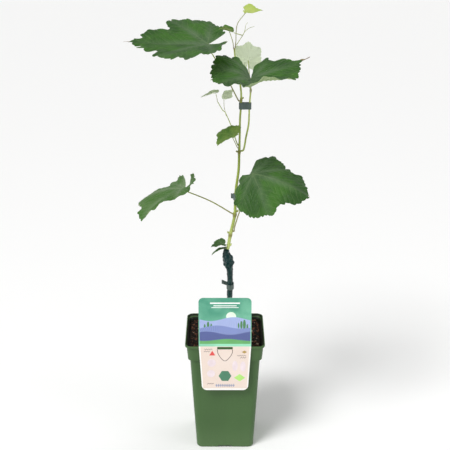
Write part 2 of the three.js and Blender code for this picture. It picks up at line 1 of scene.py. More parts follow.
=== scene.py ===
"""A young grafted grapevine in a deep square nursery pot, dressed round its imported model.

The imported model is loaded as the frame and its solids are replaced, piece by piece, with finer ones:
toothed and veined leaves, swollen green shoots, a waxed rootstock, crumbly peat, a moulded pot, tape ties
and a printed plastic label. Points are worked out in millimetres and put into the meshes in metres.
"""
import math

import bpy
import numpy as np
from bpy.props import FloatProperty, FloatVectorProperty, IntProperty, PointerProperty
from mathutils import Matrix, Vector, noise


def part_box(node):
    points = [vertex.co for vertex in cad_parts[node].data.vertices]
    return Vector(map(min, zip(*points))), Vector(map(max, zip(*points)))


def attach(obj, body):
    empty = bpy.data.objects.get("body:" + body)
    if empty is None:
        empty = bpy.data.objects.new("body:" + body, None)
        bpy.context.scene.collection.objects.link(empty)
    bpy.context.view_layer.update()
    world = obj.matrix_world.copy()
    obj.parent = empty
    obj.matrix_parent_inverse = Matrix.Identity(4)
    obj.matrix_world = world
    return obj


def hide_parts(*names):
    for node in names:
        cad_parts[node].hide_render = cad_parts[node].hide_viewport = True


bl_info = {
    "name": "Potted grapevine",
    "version": (1, 0, 0),
    "blender": (4, 5, 0),
    "location": "View3D > Sidebar > Grapevine",
    "description": "Dresses a packed grapevine with its leaves, shoots, peat, pot, ties and label",
    "category": "Add Mesh",
}

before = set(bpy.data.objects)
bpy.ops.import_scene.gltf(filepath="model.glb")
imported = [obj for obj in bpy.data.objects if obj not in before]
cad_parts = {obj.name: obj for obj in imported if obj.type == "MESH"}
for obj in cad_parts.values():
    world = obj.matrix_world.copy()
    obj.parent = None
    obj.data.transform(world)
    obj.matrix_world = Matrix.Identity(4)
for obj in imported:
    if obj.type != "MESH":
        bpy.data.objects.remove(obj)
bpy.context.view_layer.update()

MM = 0.001
TURN = 2 * math.pi
SQUARE = ((-1, -1), (1, -1), (1, 1), (-1, 1))


def srgb(red, green, blue):
    """A screen colour, 0 to 255, as the linear one that the settings and shaders hold."""
    def linear(value):
        share = value / 255
        return share / 12.92 if share <= 0.04045 else ((share + 0.055) / 1.055) ** 2.4
    return tuple(round(linear(value), 4) for value in (red, green, blue))


def opaque(color):
    return (*color[:3], 1.0)


def box_mm(node):
    """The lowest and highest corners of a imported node, in millimetres."""
    low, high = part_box(node)
    return np.array(low) / MM, np.array(high) / MM


# ---------------------------------------------------------------- settings
def length_setting(name, description, default):
    return FloatProperty(name=name, description=description, default=default, min=0.0, unit="LENGTH")


def color_setting(name, description, default):
    return FloatVectorProperty(
        name=name, description=description, default=default, min=0.0, max=1.0, size=3, subtype="COLOR")


class VinePotSettings(bpy.types.PropertyGroup):
    """The moulded pot."""
    wall: length_setting("Wall", "Thickness of the pot's wall", 0.002)
    color: color_setting("Colour", "Colour of the moulded plastic", srgb(64, 94, 52))
    # Painted shade: the colour that darkens the inside of the wall above the peat.
    inner_shade_color: color_setting("Inner colour", "Colour of the painted shade inside of the wall", srgb(26, 34, 24))


class VinePeatSettings(bpy.types.PropertyGroup):
    """The peat that fills the pot."""
    relief: length_setting("Relief", "How far the peat's surface rises and falls", 0.0028)
    crumb: length_setting("Crumb", "Size of the largest crumbs", 0.0056)
    seed: IntProperty(name="Seed", description="Changes where the crumbs and fibres lie", default=4, min=0)
    dark: color_setting("Dark", "Colour of the dampest peat", srgb(8, 6, 4))
    light: color_setting("Light", "Colour of drier crumbs and bark", srgb(112, 72, 52))
    pale: color_setting("Pale", "Colour of the palest chips", srgb(168, 150, 128))


class VineTrunkSettings(bpy.types.PropertyGroup):
    """The rootstock and graft under their wax."""
    lump: length_setting("Lumps", "Height of the lumps in the wax", 0.0011)
    color: color_setting("Wax", "Colour of the wax", srgb(2, 44, 44))
    worn: color_setting("Worn wax", "Colour where the wax is thin or dusty", srgb(44, 84, 72))


class VineShootSettings(bpy.types.PropertyGroup):
    """The green shoots and the leaf stalks."""
    pale: color_setting("Pale", "Colour of the soft growth next to the graft", srgb(196, 208, 128))
    green: color_setting("Green", "Colour of the shoots", srgb(154, 172, 76))
    joint: color_setting("Joint", "Colour at the joints", srgb(120, 112, 62))
    stalk: color_setting("Stalk", "Colour of the leaf stalks", srgb(140, 128, 100))


class VineLeafSettings(bpy.types.PropertyGroup):
    """The leaf blades."""
    thickness: length_setting("Thickness", "Thickness of a blade", 0.00045)
    pucker: length_setting("Pucker", "How far the blade bulges between its veins", 0.0009)
    fresh: color_setting("Fresh", "Upper face away from the veins", srgb(56, 102, 28))
    deep: color_setting("Deep", "Upper face in its darker patches", srgb(38, 78, 24))
    # Painted reflection: the grey that the glossy upper face takes from the sky.
    reflection: color_setting("Reflection", "Greyish bloom of the upper face", srgb(90, 110, 84))
    vein: color_setting("Vein", "Veins of the upper face", srgb(120, 142, 92))
    under: color_setting("Underside", "Under face", srgb(150, 168, 120))
    young: color_setting("Young", "Upper face of the youngest leaves", srgb(186, 200, 108))
    pale: color_setting("Pale", "Downy leaves that have just opened", srgb(192, 206, 160))


class VineTieSettings(bpy.types.PropertyGroup):
    """The tape ties."""
    thickness: length_setting("Thickness", "Thickness of the tape", 0.0005)
    color: color_setting("Tape", "Colour of the tape", srgb(86, 102, 97))


class VineLabelSettings(bpy.types.PropertyGroup):
    """The plant label."""
    thickness: length_setting("Thickness", "Thickness of the label", 0.0008)
    deep: color_setting("Deep", "Top of the printed ground", srgb(66, 150, 122))
    mint: color_setting("Mint", "Foot of the printed ground", srgb(150, 222, 186))
    cream: color_setting("Cream", "Colour of the lower half", srgb(230, 212, 200))
    hill: color_setting("Hill", "Colour of the printed hills", srgb(96, 112, 172))


class VineStageSettings(bpy.types.PropertyGroup):
    """Floor, lights and camera."""
    floor: color_setting("Floor", "Colour of the floor", (0.945, 0.945, 0.94))
    lens: FloatProperty(name="Lens", description="Focal length in millimetres", default=82.4, min=10.0)
    distance: length_setting("Distance", "How far in front of the pot's middle the camera stands", 1.443)
    height: length_setting("Height", "How high the camera stands", 0.873)
    pitch: FloatProperty(
        name="Pitch", description="How far the camera looks down", default=math.radians(19.8),
        subtype="ANGLE")


# ---------------------------------------------------------------- shader helpers
def add_node(tree, kind, inputs=None, **options):
    """Adds a node, sets its options, and sets or links its inputs."""
    node = tree.nodes.new(kind)
    for name, value in options.items():
        setattr(node, name, value)
    for name, value in (inputs or {}).items():
        if isinstance(value, bpy.types.NodeSocket):
            tree.links.new(value, node.inputs[name])
        else:
            node.inputs[name].default_value = value
    return node


def place(tree, kind, inputs=None, **options):
    return add_node(tree, "ShaderNode" + kind, inputs, **options)


def math_node(tree, operation, first, second=0.0, clamp=False):
    return place(tree, "Math", {0: first, 1: second}, operation=operation, use_clamp=clamp).outputs[0]


def smooth_step(tree, value, low, high, out_low=0.0, out_high=1.0):
    node = place(tree, "MapRange", {"Value": value, "From Min": low, "From Max": high,
                                    "To Min": out_low, "To Max": out_high},
                 interpolation_type="SMOOTHSTEP")
    return node.outputs["Result"]


def blend_color(tree, share, first, second):
    """Mixes two colours, each a socket or a plain colour."""
    first, second = (color if isinstance(color, bpy.types.NodeSocket) else opaque(color)
                     for color in (first, second))
    return place(tree, "Mix", {0: share, 6: first, 7: second}, data_type="RGBA").outputs[2]


def point_value(tree, name):
    return place(tree, "Attribute", attribute_name=name).outputs["Fac"]


def new_group(name, inputs, outputs):
    """An empty shader group with float inputs and outputs; returns it with its two ends."""
    group = bpy.data.node_groups.new(name, "ShaderNodeTree")
    for label, default in inputs.items():
        socket = group.interface.new_socket(label, in_out="INPUT", socket_type="NodeSocketFloat")
        socket.default_value = default
    for label, kind in outputs.items():
        group.interface.new_socket(label, in_out="OUTPUT", socket_type=kind)
    start = group.nodes.new("NodeGroupInput")
    end = group.nodes.new("NodeGroupOutput")
    return group, start, end


def mottle_group():
    """Soft patches and fine grain on Object coordinates: sizes are in patches to the metre."""
    if "Mottle" in bpy.data.node_groups:
        return bpy.data.node_groups["Mottle"]
    group, start, end = new_group(
        "Mottle", {"Patches": 60.0, "Grain": 900.0, "Stretch": 1.0},
        {"Patch": "NodeSocketFloat", "Fine": "NodeSocketFloat"})
    coordinates = place(group, "TexCoord").outputs["Object"]
    scale = place(group, "CombineXYZ", {"X": 1.0, "Y": 1.0, "Z": start.outputs["Stretch"]})
    stretched = place(group, "VectorMath", {0: coordinates, 1: scale.outputs[0]}, operation="MULTIPLY")
    for label, size, detail in (("Patch", "Patches", 3.0), ("Fine", "Grain", 2.0)):
        texture = place(group, "TexNoise", {"Vector": stretched.outputs[0], "Scale": start.outputs[size],
                                            "Detail": detail, "Roughness": 0.55})
        group.links.new(texture.outputs["Fac"], end.inputs[label])
    return group


def mottle(tree, patches, grain, stretch=1.0):
    """Places the shared mottle group; returns its patch and fine outputs."""
    node = place(tree, "Group", {"Patches": patches, "Grain": grain, "Stretch": stretch},
                 node_tree=mottle_group())
    return node.outputs["Patch"], node.outputs["Fine"]


def vein_group():
    """Veins of a blade from the values at its points: the masks of all veins and their height."""
    if "Leaf veins" in bpy.data.node_groups:
        return bpy.data.node_groups["Leaf veins"]
    outputs = {"Veins": "NodeSocketFloat", "Height": "NodeSocketFloat"}
    group, start, end = new_group("Leaf veins", {"Width": 0.7, "Net": 0.42}, outputs)
    flat = place(group, "Attribute", attribute_name="flat_place").outputs["Vector"]
    rim = point_value(group, "rim_share")
    taper = math_node(group, "SUBTRACT", 1.05, math_node(group, "MULTIPLY", rim, 0.8))
    width = math_node(group, "MULTIPLY", start.outputs["Width"], taper)
    main = smooth_step(group, point_value(group, "off_vein"), 0.0, width, 1.0, 0.0)
    wobble = place(group, "TexNoise", {"Vector": flat, "Scale": 0.08, "Detail": 1.0}).outputs["Fac"]
    phase = math_node(group, "ADD", point_value(group, "side_phase"),
                      math_node(group, "MULTIPLY", wobble, 0.9))
    off_side = math_node(group, "ABSOLUTE",
                         math_node(group, "SUBTRACT", math_node(group, "FRACT", phase), 0.5))
    side = smooth_step(group, off_side, 0.0, 0.075, 1.0, 0.0)
    cells = place(group, "TexVoronoi", {"Vector": flat, "Scale": start.outputs["Net"]},
                  feature="DISTANCE_TO_EDGE").outputs["Distance"]
    net = smooth_step(group, cells, 0.0, 0.14, 1.0, 0.0)
    weaker = math_node(group, "MAXIMUM", math_node(group, "MULTIPLY", side, 0.62),
                       math_node(group, "MULTIPLY", net, 0.22))
    veins = math_node(group, "MAXIMUM", main, weaker)
    bulge = smooth_step(group, cells, 0.0, 0.5)
    height = math_node(group, "SUBTRACT", math_node(group, "MULTIPLY", bulge, 0.5), veins)
    group.links.new(veins, end.inputs["Veins"])
    group.links.new(height, end.inputs["Height"])
    return group


def new_material(name, roughness=0.5, specular=0.5, coat=0.0, sheen=0.0):
    """A material with its Principled shader; returns the material, its tree and the shader."""
    material = bpy.data.materials.new(name)
    material.use_nodes = True
    shader = material.node_tree.nodes["Principled BSDF"]
    for label, value in (("Roughness", roughness), ("Specular IOR Level", specular), ("Coat Weight", coat),
                         ("Coat Roughness", 0.15), ("Sheen Weight", sheen)):
        shader.inputs[label].default_value = value
    return material, material.node_tree, shader


def dressed(made, color, rough, height=None, depth=0.0):
    """Links a new material's colour, roughness and bump, and returns the material."""
    material, tree, shader = made
    tree.links.new(color, shader.inputs["Base Color"])
    tree.links.new(rough, shader.inputs["Roughness"])
    if height is not None:
        bump = place(tree, "Bump", {"Height": height, "Distance": depth})
        tree.links.new(bump.outputs["Normal"], shader.inputs["Normal"])
    return material


def where_node(tree):
    """The X, Y and Z outputs of a point's place on the object, in metres."""
    return place(tree, "SeparateXYZ", {0: place(tree, "TexCoord").outputs["Object"]}).outputs


# ---------------------------------------------------------------- mesh helpers
def mesh_object(name, points, faces, material, sharp=50.0):
    """A mesh object at the origin from points in millimetres; edges over the sharp angle stay crisp."""
    mesh = bpy.data.meshes.new(name)
    mesh.from_pydata((np.asarray(points) * MM).tolist(), [], faces)
    mesh.validate()
    mesh.shade_smooth()
    mesh.set_sharp_from_angle(angle=math.radians(sharp))
    piece = bpy.data.objects.new(name, mesh)
    bpy.context.scene.collection.objects.link(piece)
    mesh.materials.append(material)
    return piece


def point_values(piece, name, values):
    """Stores one number, or one vector, for each point of a piece."""
    values = np.asarray(values, np.float32)
    kind, field = ("FLOAT", "value") if values.ndim == 1 else ("FLOAT_VECTOR", "vector")
    attribute = piece.data.attributes.new(name, kind, "POINT")
    attribute.data.foreach_set(field, values.ravel())


def keep(piece, slot, *nodes):
    """Hands a finished piece to the frame: it rides on the plant and stands for the named nodes."""
    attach(piece, "root")
    if nodes:
        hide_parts(*nodes)
    return piece


def baked(piece, name):
    """A plain mesh object from a piece with its modifiers applied; the first one is removed."""
    depsgraph = bpy.context.evaluated_depsgraph_get()
    mesh = bpy.data.meshes.new_from_object(piece.evaluated_get(depsgraph))
    first = piece.data
    bpy.data.objects.remove(piece)
    if isinstance(first, bpy.types.Curve):
        bpy.data.curves.remove(first)
    else:
        bpy.data.meshes.remove(first)
    mesh.name = name
    result = bpy.data.objects.new(name, mesh)
    bpy.context.scene.collection.objects.link(result)
    return result


def move_points(piece, change):
    """Moves a piece's points with a function of their places in millimetres."""
    flat = np.empty(len(piece.data.vertices) * 3)
    piece.data.vertices.foreach_get("co", flat)
    piece.data.vertices.foreach_set("co", (change(flat.reshape(-1, 3) / MM) * MM).ravel())
    piece.data.update()


def perlin(points, size, seed=0.0):
    """Smooth noise between about -1 and 1 at points in millimetres, in waves of the given size."""
    shift = Vector((seed * 17.3, seed * 5.1, seed * 9.7))
    return np.array([noise.noise(Vector(point) / size + shift) for point in np.asarray(points)])


def join_parts(parts):
    """One list of points and faces from several."""
    points, faces, start = [], [], 0
    for part_points, part_faces in parts:
        points.append(np.asarray(part_points))
        faces.extend([tuple(i + start for i in face) for face in part_faces])
        start += len(part_points)
    return np.vstack(points), faces


def arc(centre, radius, start, end, steps=8):
    """Points on an arc in a plane, angles in quarter turns."""
    return [(centre[0] + radius * math.cos(angle), centre[1] + radius * math.sin(angle))
            for angle in (TURN / 4 * (start + (end - start) * i / steps) for i in range(steps + 1))]


def unit(vector):
    return vector / np.linalg.norm(vector)


def square_to(lines, axis):
    """Unit vectors square to each of some directions and to an axis."""
    out = np.cross(lines, axis)
    return out / np.linalg.norm(out, axis=1)[:, None]


def ring_faces(rings, sides):
    """The faces between each closed ring of points and the next."""
    steps = [(i, (i + 1) % sides) for i in range(sides)]
    return [(ring + i, ring + j, ring + j + sides, ring + i + sides)
            for ring in range(0, (rings - 1) * sides, sides) for i, j in steps]


def skin(rings, start=None, end=None):
    """A closed solid from rings of points, with a point in the middle of each end."""
    rings = np.asarray(rings, float)
    count, sides, _ = rings.shape
    start = rings[0].mean(axis=0) if start is None else start
    end = rings[-1].mean(axis=0) if end is None else end
    points = np.vstack([rings.reshape(-1, 3), start, end])
    faces = ring_faces(count, sides)
    first, last, top = count * sides, count * sides + 1, (count - 1) * sides
    for i in range(sides):
        faces.append((first, (i + 1) % sides, i))
        faces.append((last, top + i, top + (i + 1) % sides))
    return points, faces


# ---------------------------------------------------------------- limbs
# How far apart solids stand, how deep a limb's foot is let into what bears it, how many of its radii a
# stalk runs on under its blade, and the heights of the trunk's top and the shoots' fork.
GAP, SEAT, MIDRIB_RUN = 0.3, 1.4, 3
TRUNK_TOP, FORK = 315.5, 469.5


def spline(points, count):
    """Evenly spaced points on the smooth line through a few given ones, and its length."""
    given = np.array(points, float)
    ends = np.vstack([2 * given[0] - given[1], given, 2 * given[-1] - given[-2]])
    share = np.linspace(0, 1, 60, endpoint=False)[:, None]
    stretches = []
    for i in range(len(given) - 1):
        before, low, high, after = ends[i:i + 4]
        leave, arrive = (high - before) / 2, (after - low) / 2
        stretches.append(low + leave * share
                         + (3 * (high - low) - 2 * leave - arrive) * share ** 2
                         + (2 * (low - high) + leave + arrive) * share ** 3)
    fine = np.vstack([*stretches, given[-1:]])
    travelled = np.concatenate([[0], np.cumsum(np.linalg.norm(np.diff(fine, axis=0), axis=1))])
    at = np.linspace(0, travelled[-1], count)
    return np.column_stack([np.interp(at, travelled, fine[:, k]) for k in range(3)]), travelled[-1]


def limb_radius(limb, share, length):
    """The limb's radius at shares of its length: a taper with swellings at the joints."""
    radius = np.interp(share, *zip(*limb["radii"]))
    for at, extra, half in limb.get("swell", ()):
        radius = radius + extra * np.exp(-((share - at) * length / half) ** 2)
    return radius


def leaving(limb, height, bearing, run=2.0):
    """Where a stalk leaves a limb: a point just clear of the bark, and one square out from it."""
    path, length = spline(limb["points"], 800)
    index = min(max(int(np.searchsorted(path[:, 2], height)), 1), len(path) - 2)
    tangent = unit(path[index + 1] - path[index - 1])
    out = np.array([math.cos(math.radians(bearing)), math.sin(math.radians(bearing)), 0.0])
    out = unit(out - tangent * out.dot(tangent))
    root = path[index] + out * (limb_radius(limb, index / 799, length) + GAP)
    return [list(root), list(root + out * run)]


LIMBS = {
    "trunk": {
        "points": [[7, 0, 174.3], [7, 0, 200], [7, 0, 236], [7.8, 0, 258], [7.1, 0, 280], [3.6, 0, 302],
                   [1.8, 0, 309], [2.6, 0, TRUNK_TOP]],
        "radii": [[0, 6], [0.06, 4.8], [0.2, 4.3], [0.68, 4.3], [0.78, 5.3], [0.84, 7.6], [0.92, 6.3],
                  [0.955, 4.9], [1, 4.1]],
    },
    "shoot_lower": {
        "points": [[4.3, 0, TRUNK_TOP + GAP], [8.2, 0, 339], [14.4, 0, 369], [15.6, 0, 403],
                   [19.9, 0, 440], [20.6, 0, FORK]],
        "radii": [[0, 2.4], [0.15, 2.5], [0.35, 2.1], [1, 1.7]],
        "swell": [[0.15, 0.5, 3], [0.36, 0.9, 3.5], [0.98, 0.7, 3]],
    },
    "shoot_left": {
        "points": [[20.7, 0, FORK + GAP], [21.2, 0, 488], [21.6, 0, 516], [22.8, 0, 535], [22.4, 0, 560],
                   [14.8, 0, 600], [13, 0, 617]],
        "radii": [[0, 1.8], [0.1, 1.45], [0.6, 1.3], [1, 1]], "swell": [[0.5, 0.6, 3], [1, 0.4, 3]],
    },
    "shoot_right": {
        "points": [[23.5, 0, 468.2], [27, 0, 470], [30.3, 0, 488], [34, 0, 508], [34.9, 0, 532],
                   [36.8, 0, 560]],
        "radii": [[0, 1.3], [0.12, 1.35], [1, 1.15]], "swell": [[0.97, 0.6, 3]],
    },
}
LIMBS["side_twig"] = {
    "points": [*leaving(LIMBS["shoot_left"], 478, 190, 1.2), [8.6, 3, 505], [0.6, 2, 523.8],
               [-3.4, 1, 528], [-10.8, 0, 541]],
    "radii": [[0, 1], [0.1, 0.75], [1, 0.5]],
}
LIMBS["bud"] = {
    "points": [*leaving(LIMBS["shoot_lower"], 323, -60, 1.6), [9.8, -5.5, 326.5]],
    "radii": [[0, 1], [0.5, 1.7], [1, 0.4]],
}


def frames_along(path):
    """Two unit vectors across a path at each of its points, turned as little as possible."""
    tangents = np.gradient(path, axis=0)
    tangents /= np.linalg.norm(tangents, axis=1)[:, None]
    across = np.array([1.0, 0.0, 0.0]) if abs(tangents[0][0]) < 0.9 else np.array([0.0, 1.0, 0.0])
    sides = []
    for tangent in tangents:
        across = unit(across - tangent * across.dot(tangent))
        sides.append(across)
    sides = np.array(sides)
    return sides, np.cross(tangents, sides)


def tube(points, radius, count, sides, relief=None):
    """A closed round tube along a smooth line, and each point's share of the way along it.

    radius maps shares of the length, and the length, to radii. relief maps the tube's points, angles and
    shares to extra radius.
    """
    path, length = spline(points, count)
    share = np.linspace(0, 1, count)
    side, other = frames_along(path)
    angle = np.arange(sides) * TURN / sides
    spoke = side[:, None] * np.cos(angle)[:, None] + other[:, None] * np.sin(angle)[:, None]
    radii = np.repeat(radius(share, length)[:, None], sides, axis=1)
    if relief:
        rings = path[:, None] + radii[..., None] * spoke
        radii = radii + relief(rings, angle, share, length)
    rings = path[:, None] + radii[..., None] * spoke
    points, faces = skin(rings, path[0], path[-1])
    shares = np.concatenate([np.repeat(share, sides), [0, 1]])
    return points, faces, shares


def limb_piece(name, limb, material, count, sides, ridge=0.04, tone=(0.0, 1.0)):
    """A green shoot: round, faintly ridged, brownish at its joints, its foot let into what bears it."""
    foot, second = np.array(limb["points"][:2], float)
    line = [foot - unit(second - foot) * SEAT, *limb["points"][1:]]

    def radius(share, length):
        from_end = np.minimum(share, 1 - share) * length
        rounded = np.sqrt(np.clip(1 - (1 - np.clip(from_end / 0.9, 0, 1)) ** 2, 0.04, 1))
        return limb_radius(limb, share, length) * rounded

    def relief(rings, angle, share, length):
        ridges = ridge * np.cos(6 * angle + 0.4)[None, :] * limb_radius(limb, share, length)[:, None]
        bumps = perlin(rings.reshape(-1, 3), 2.6, 2).reshape(rings.shape[:2]) * 0.09
        return ridges + bumps

    points, faces, share = tube(line, radius, count, sides, relief)
    length = spline(line, 50)[1]
    joints = np.zeros(len(share))
    for at, _, half in limb.get("swell", ()):
        joints = np.maximum(joints, np.exp(-((share - at) * length / (half * 1.1)) ** 2))
    return bark_piece(name, points, faces, material, tone[0] + (tone[1] - tone[0]) * share, joints)


def bark_piece(name, points, faces, material, tone, joint):
    """A piece of green growth, with how green and how brown it is: a number, or one for each point."""
    piece = mesh_object(name, points, faces, material, sharp=70)
    for label, value in (("tone", tone), ("joint", joint)):
        point_values(piece, label, np.broadcast_to(value, len(points)))
    return piece


# ---------------------------------------------------------------- leaves: outline and bend
LOBE_ANGLES = (0, 25, 47, 72, 97, 124, 146, 168)
MAIN_VEINS = (0, 47, -47, 97, -97, 146, -146)


def lobed(tip, upper, side, base):
    """The common outline of a lobed vine leaf, with its tip, upper, side and basal lobes scaled."""
    reaches = (tip, 0.8 * (tip + upper) / 2, 0.87 * upper, 0.7 * (upper + side) / 2,
               0.73 * side, 0.58 * (side + base) / 2, 0.53 * base, 0.36 * base)
    return list(zip(LOBE_ANGLES, reaches))


# What a leaf has unless LEAVES says otherwise. Places, length, stalk, frill and a tail's length are in
# millimetres, reaches, lifts, wave, tooth and tooth_gap are shares of the length, and angles are in degrees.
# turn is yaw, pitch and roll. bend is for the part towards the tip and the part behind the stalk's end, fold
# and curl are for the left half and the right, and ends are for the right half and the left. right and left
# give each half's outline as an angle from the tip and a reach. Lifts and tails start with an angle from
# the tip, positive to the right.
FLAT_LEAF = dict(
    curl=(0, 0), twist=0, grow=0, wave=0.03, phase=0, lifts=(), tooth_gap=0.115, tooth=0.04, frill=1.1,
    ends=(168, 168), tails=(), stalk=0.9, kind="leaf")

LEAVES = {
    "leaf_upper_left": dict(
        at=[-24.2, 0, 622.3], length=95, width=1.04, turn=(180, -1, 20), bend=(-4, -48), fold=(25, 16),
        curl=(-11, -44), twist=7, grow=-1, wave=0.012, phase=-38, ends=(145, 168),
        right=[(0, 1.12), (3, 1.1), (6, 0.99), (9, 1), (15, 0.94), (21, 0.86), (28, 0.66), (44, 0.84),
               (52, 0.84), (70, 0.7), (96, 0.58), (114, 0.47), (134, 0.37), (145, 0.31)],
        left=[(0, 1.12), (6, 1.09), (9, 0.99), (13, 1.02), (20, 0.95), (28, 0.83), (40, 1), (57, 0.96),
              (73, 0.93), (89, 0.7), (98, 0.79), (112, 0.66), (124, 0.45), (150, 0.32), (168, 0.15)],
        tooth_gap=0.11, tooth=0.06, tails=[(0, 9, 0.4, 0.5)],
        stalk_path=[*leaving(LIMBS["shoot_left"], 542.5, 175), [6, 5, 567], [-12.4, 6, 598.7]],
    ),
    "leaf_centre": dict(
        at=[35.3, -50, 583.7], length=87, width=0.95, turn=(-89, -13, -16), bend=(-14, 5), fold=(5, 52),
        curl=(-23, -80), twist=-2, grow=-11, phase=121, lifts=[(-10, 0.2), (-50, 0.1)],
        right=[(0, 0.84), (14, 0.66), (28, 0.58), (36, 0.76), (67, 0.71), (110, 0.69), (122, 0.7),
               (151, 0.66), (168, 0.42)],
        left=[(0, 0.84), (25, 0.78), (50, 0.85), (77, 0.83), (104, 0.86), (124, 0.72), (144, 0.62),
              (168, 0.42)], tooth_gap=0.12, tooth=0.055, frill=1.5, tails=[(-103, 14, 1.25, -1)],
        stalk_path=[*leaving(LIMBS["shoot_right"], 556, -90), [36.3, -16, 562], [35.6, -38, 574]],
    ),
    "leaf_right": dict(
        at=[40, -30, 441.8], length=88.5, width=0.9, turn=(-44, 8, -41), bend=(55, 46), fold=(-25, -13),
        curl=(2, -22), twist=9, grow=-4, wave=0.04, phase=-163, lifts=[(-55, -0.1), (-170, -0.25)],
        ends=(168, 176),
        right=[(0, 1.05), (13, 0.98), (24, 0.84), (34, 0.81), (41, 0.9), (62, 0.82), (72, 0.79),
               (97, 0.7), (116, 0.62), (138, 0.55), (154, 0.36), (168, 0.22)],
        left=[(0, 1.05), (24, 0.98), (43, 0.66), (65, 0.63), (92, 0.67), (105, 0.57), (125, 0.55),
              (145, 0.44), (160, 0.36), (176, 0.24)], tooth_gap=0.1, tails=[(-4, 3.5, 0.45, 1)], stalk=1,
        stalk_path=[*leaving(LIMBS["shoot_lower"], 345, -20, 1.6), [14.4, -3.8, 352], [21, -8, 376],
                    [32, -20, 410]],
    ),
    "leaf_left": dict(
        at=[-59.5, -10, 412.5], length=72, width=1.08, turn=(-144, -6, -7), bend=(28, -129),
        fold=(32, 19), curl=(-12, -66), twist=4, grow=-6, wave=0.02, phase=111,
        lifts=[(146, 0.14), (-165, 0.15), (-62, -0.14)], ends=(146, 160),
        right=lobed(1.15, 1.18, 0.77, 0.6),
        left=[(0, 1.1), (25, 0.8), (47, 0.72), (62, 0.7), (80, 0.48), (100, 0.36), (124, 0.42),
              (146, 0.4), (160, 0.34)], tooth_gap=0.13, tooth=0.05, frill=1.7, tails=[(-150, 3, 0.3, -1)],
        stalk=0.95, stalk_path=[*leaving(LIMBS["shoot_lower"], 372, 185), [-22, -5, 393]],
        finish="leaf_grey_sheen",
    ),
    "leaf_side_small": dict(
        at=[12.2, -14, 493], length=29.5, width=0.93, turn=(180, -18, 19), bend=(32, -44), fold=(35, 40),
        curl=(-15, -58), twist=-1, grow=-6, wave=0.01, phase=-53, right=lobed(0.91, 1.2, 0.96, 1.25),
        left=lobed(0.91, 0.79, 0.98, 1.11), tooth_gap=0.15, stalk=0.6,
        stalk_path=[*leaving(LIMBS["shoot_left"], 473.5, 215, 1.5)], kind="leaf_young",
        finish="leaf_side",
    ),
    "leaf_top_young": dict(
        at=[29.8, 0, 669.6], length=21.5, width=0.95, turn=(-6, -2, -28), bend=(-3, 0), fold=(12, 18),
        wave=0.02,
        right=[(0, 1), (12, 0.78), (25, 0.68), (47, 0.66), (72, 0.64), (97, 0.5), (124, 0.34),
               (168, 0.12)],
        left=[(0, 1), (12, 0.76), (25, 0.64), (47, 0.62), (72, 0.6), (97, 0.5), (124, 0.36), (168, 0.12)],
        tooth_gap=0.16, tooth=0.03, tails=[(0, 3, 0.3, 0)], stalk=0.55,
        stalk_path=[[14, 0, 617.7], [15.2, 0, 626], [15.6, 0, 640], [18.4, 0, 653]], kind="leaf_young",
    ),
    "leaf_folded_young": dict(
        at=[7.5, 5, 639.5], length=16.5, width=0.75, turn=(172, 20, 10), bend=(20, 0), fold=(50, 42),
        wave=0, right=lobed(1, 1, 0.8, 0.6), left=lobed(1, 1, 0.8, 0.6), tooth_gap=0.18, tooth=0.03,
        stalk=0.55, stalk_path=[[11.9, 0, 617.7], [10.8, 1.5, 626]], kind="leaf_young",
        finish="leaf_side",
    ),
    "leaf_back_pale": dict(
        at=[33, 24, 594], length=31, width=0.83, turn=(-90, 74, 0), bend=(-15, 0), fold=(6, 6), wave=0.02,
        right=lobed(0.92, 1.14, 1, 1), left=lobed(0.92, 1.08, 1, 1), tooth_gap=0.12, tooth=0.05,
        stalk=0.7, stalk_path=[*leaving(LIMBS["shoot_right"], 552, 90), [35, 18, 574]], kind="leaf_pale",
    ),
    "leaf_twig_upper": dict(
        at=[-2.6, 9, 544.5], length=18, width=0.66, turn=(8, 38, -65), bend=(0, 0), fold=(6, 6),
        wave=0.02, right=lobed(1, 1, 0.3, 0.2), left=lobed(1, 0.8, 0.3, 0.2), tooth_gap=0.18, tooth=0.03,
        stalk=0.4, stalk_path=[*leaving(LIMBS["side_twig"], 520, 120, 1), [-1.2, 7, 532]],
        kind="leaf_pale", finish="leaf_twig",
    ),
    "leaf_twig_end": dict(
        at=[-12, 0, 553.5], length=22, width=0.6, turn=(178, -12, 0), bend=(12, 0), fold=(20, 30),
        wave=0.02, right=lobed(1.05, 0.8, 0.7, 0.4), left=lobed(1.05, 0.6, 0.5, 0.3), tooth_gap=0.18,
        tooth=0.03, stalk=0.4, stalk_path=[[-10.9, 0, 541.8], [-11.6, 0, 546]], kind="leaf_pale",
        finish="leaf_twig",
    ),
    "leaf_basal": dict(
        at=[-2.6, -6.5, 325.5], length=18, width=0.68, turn=(185, 6, 16), bend=(45, 0), fold=(20, 25),
        wave=0.05, right=lobed(1, 1, 1, 0.3), left=lobed(1, 1, 1, 0.3), tooth_gap=0.24, tooth=0.12,
        stalk=0.7, stalk_path=leaving(LIMBS["shoot_lower"], 322, 215, 1.4),
    ),
    "leaf_basal_low": dict(
        at=[-2.5, -7, 318.4], length=20, width=0.7, turn=(190, -8, 0), bend=(40, 0), fold=(20, 20),
        wave=0, right=lobed(1, 0.5, 0.36, 0.6), left=lobed(1, 0.5, 0.36, 0.6), tooth_gap=0.2, tooth=0.02,
        stalk=0.5, stalk_path=leaving(LIMBS["shoot_lower"], 319, 235, 1),
    ),
}


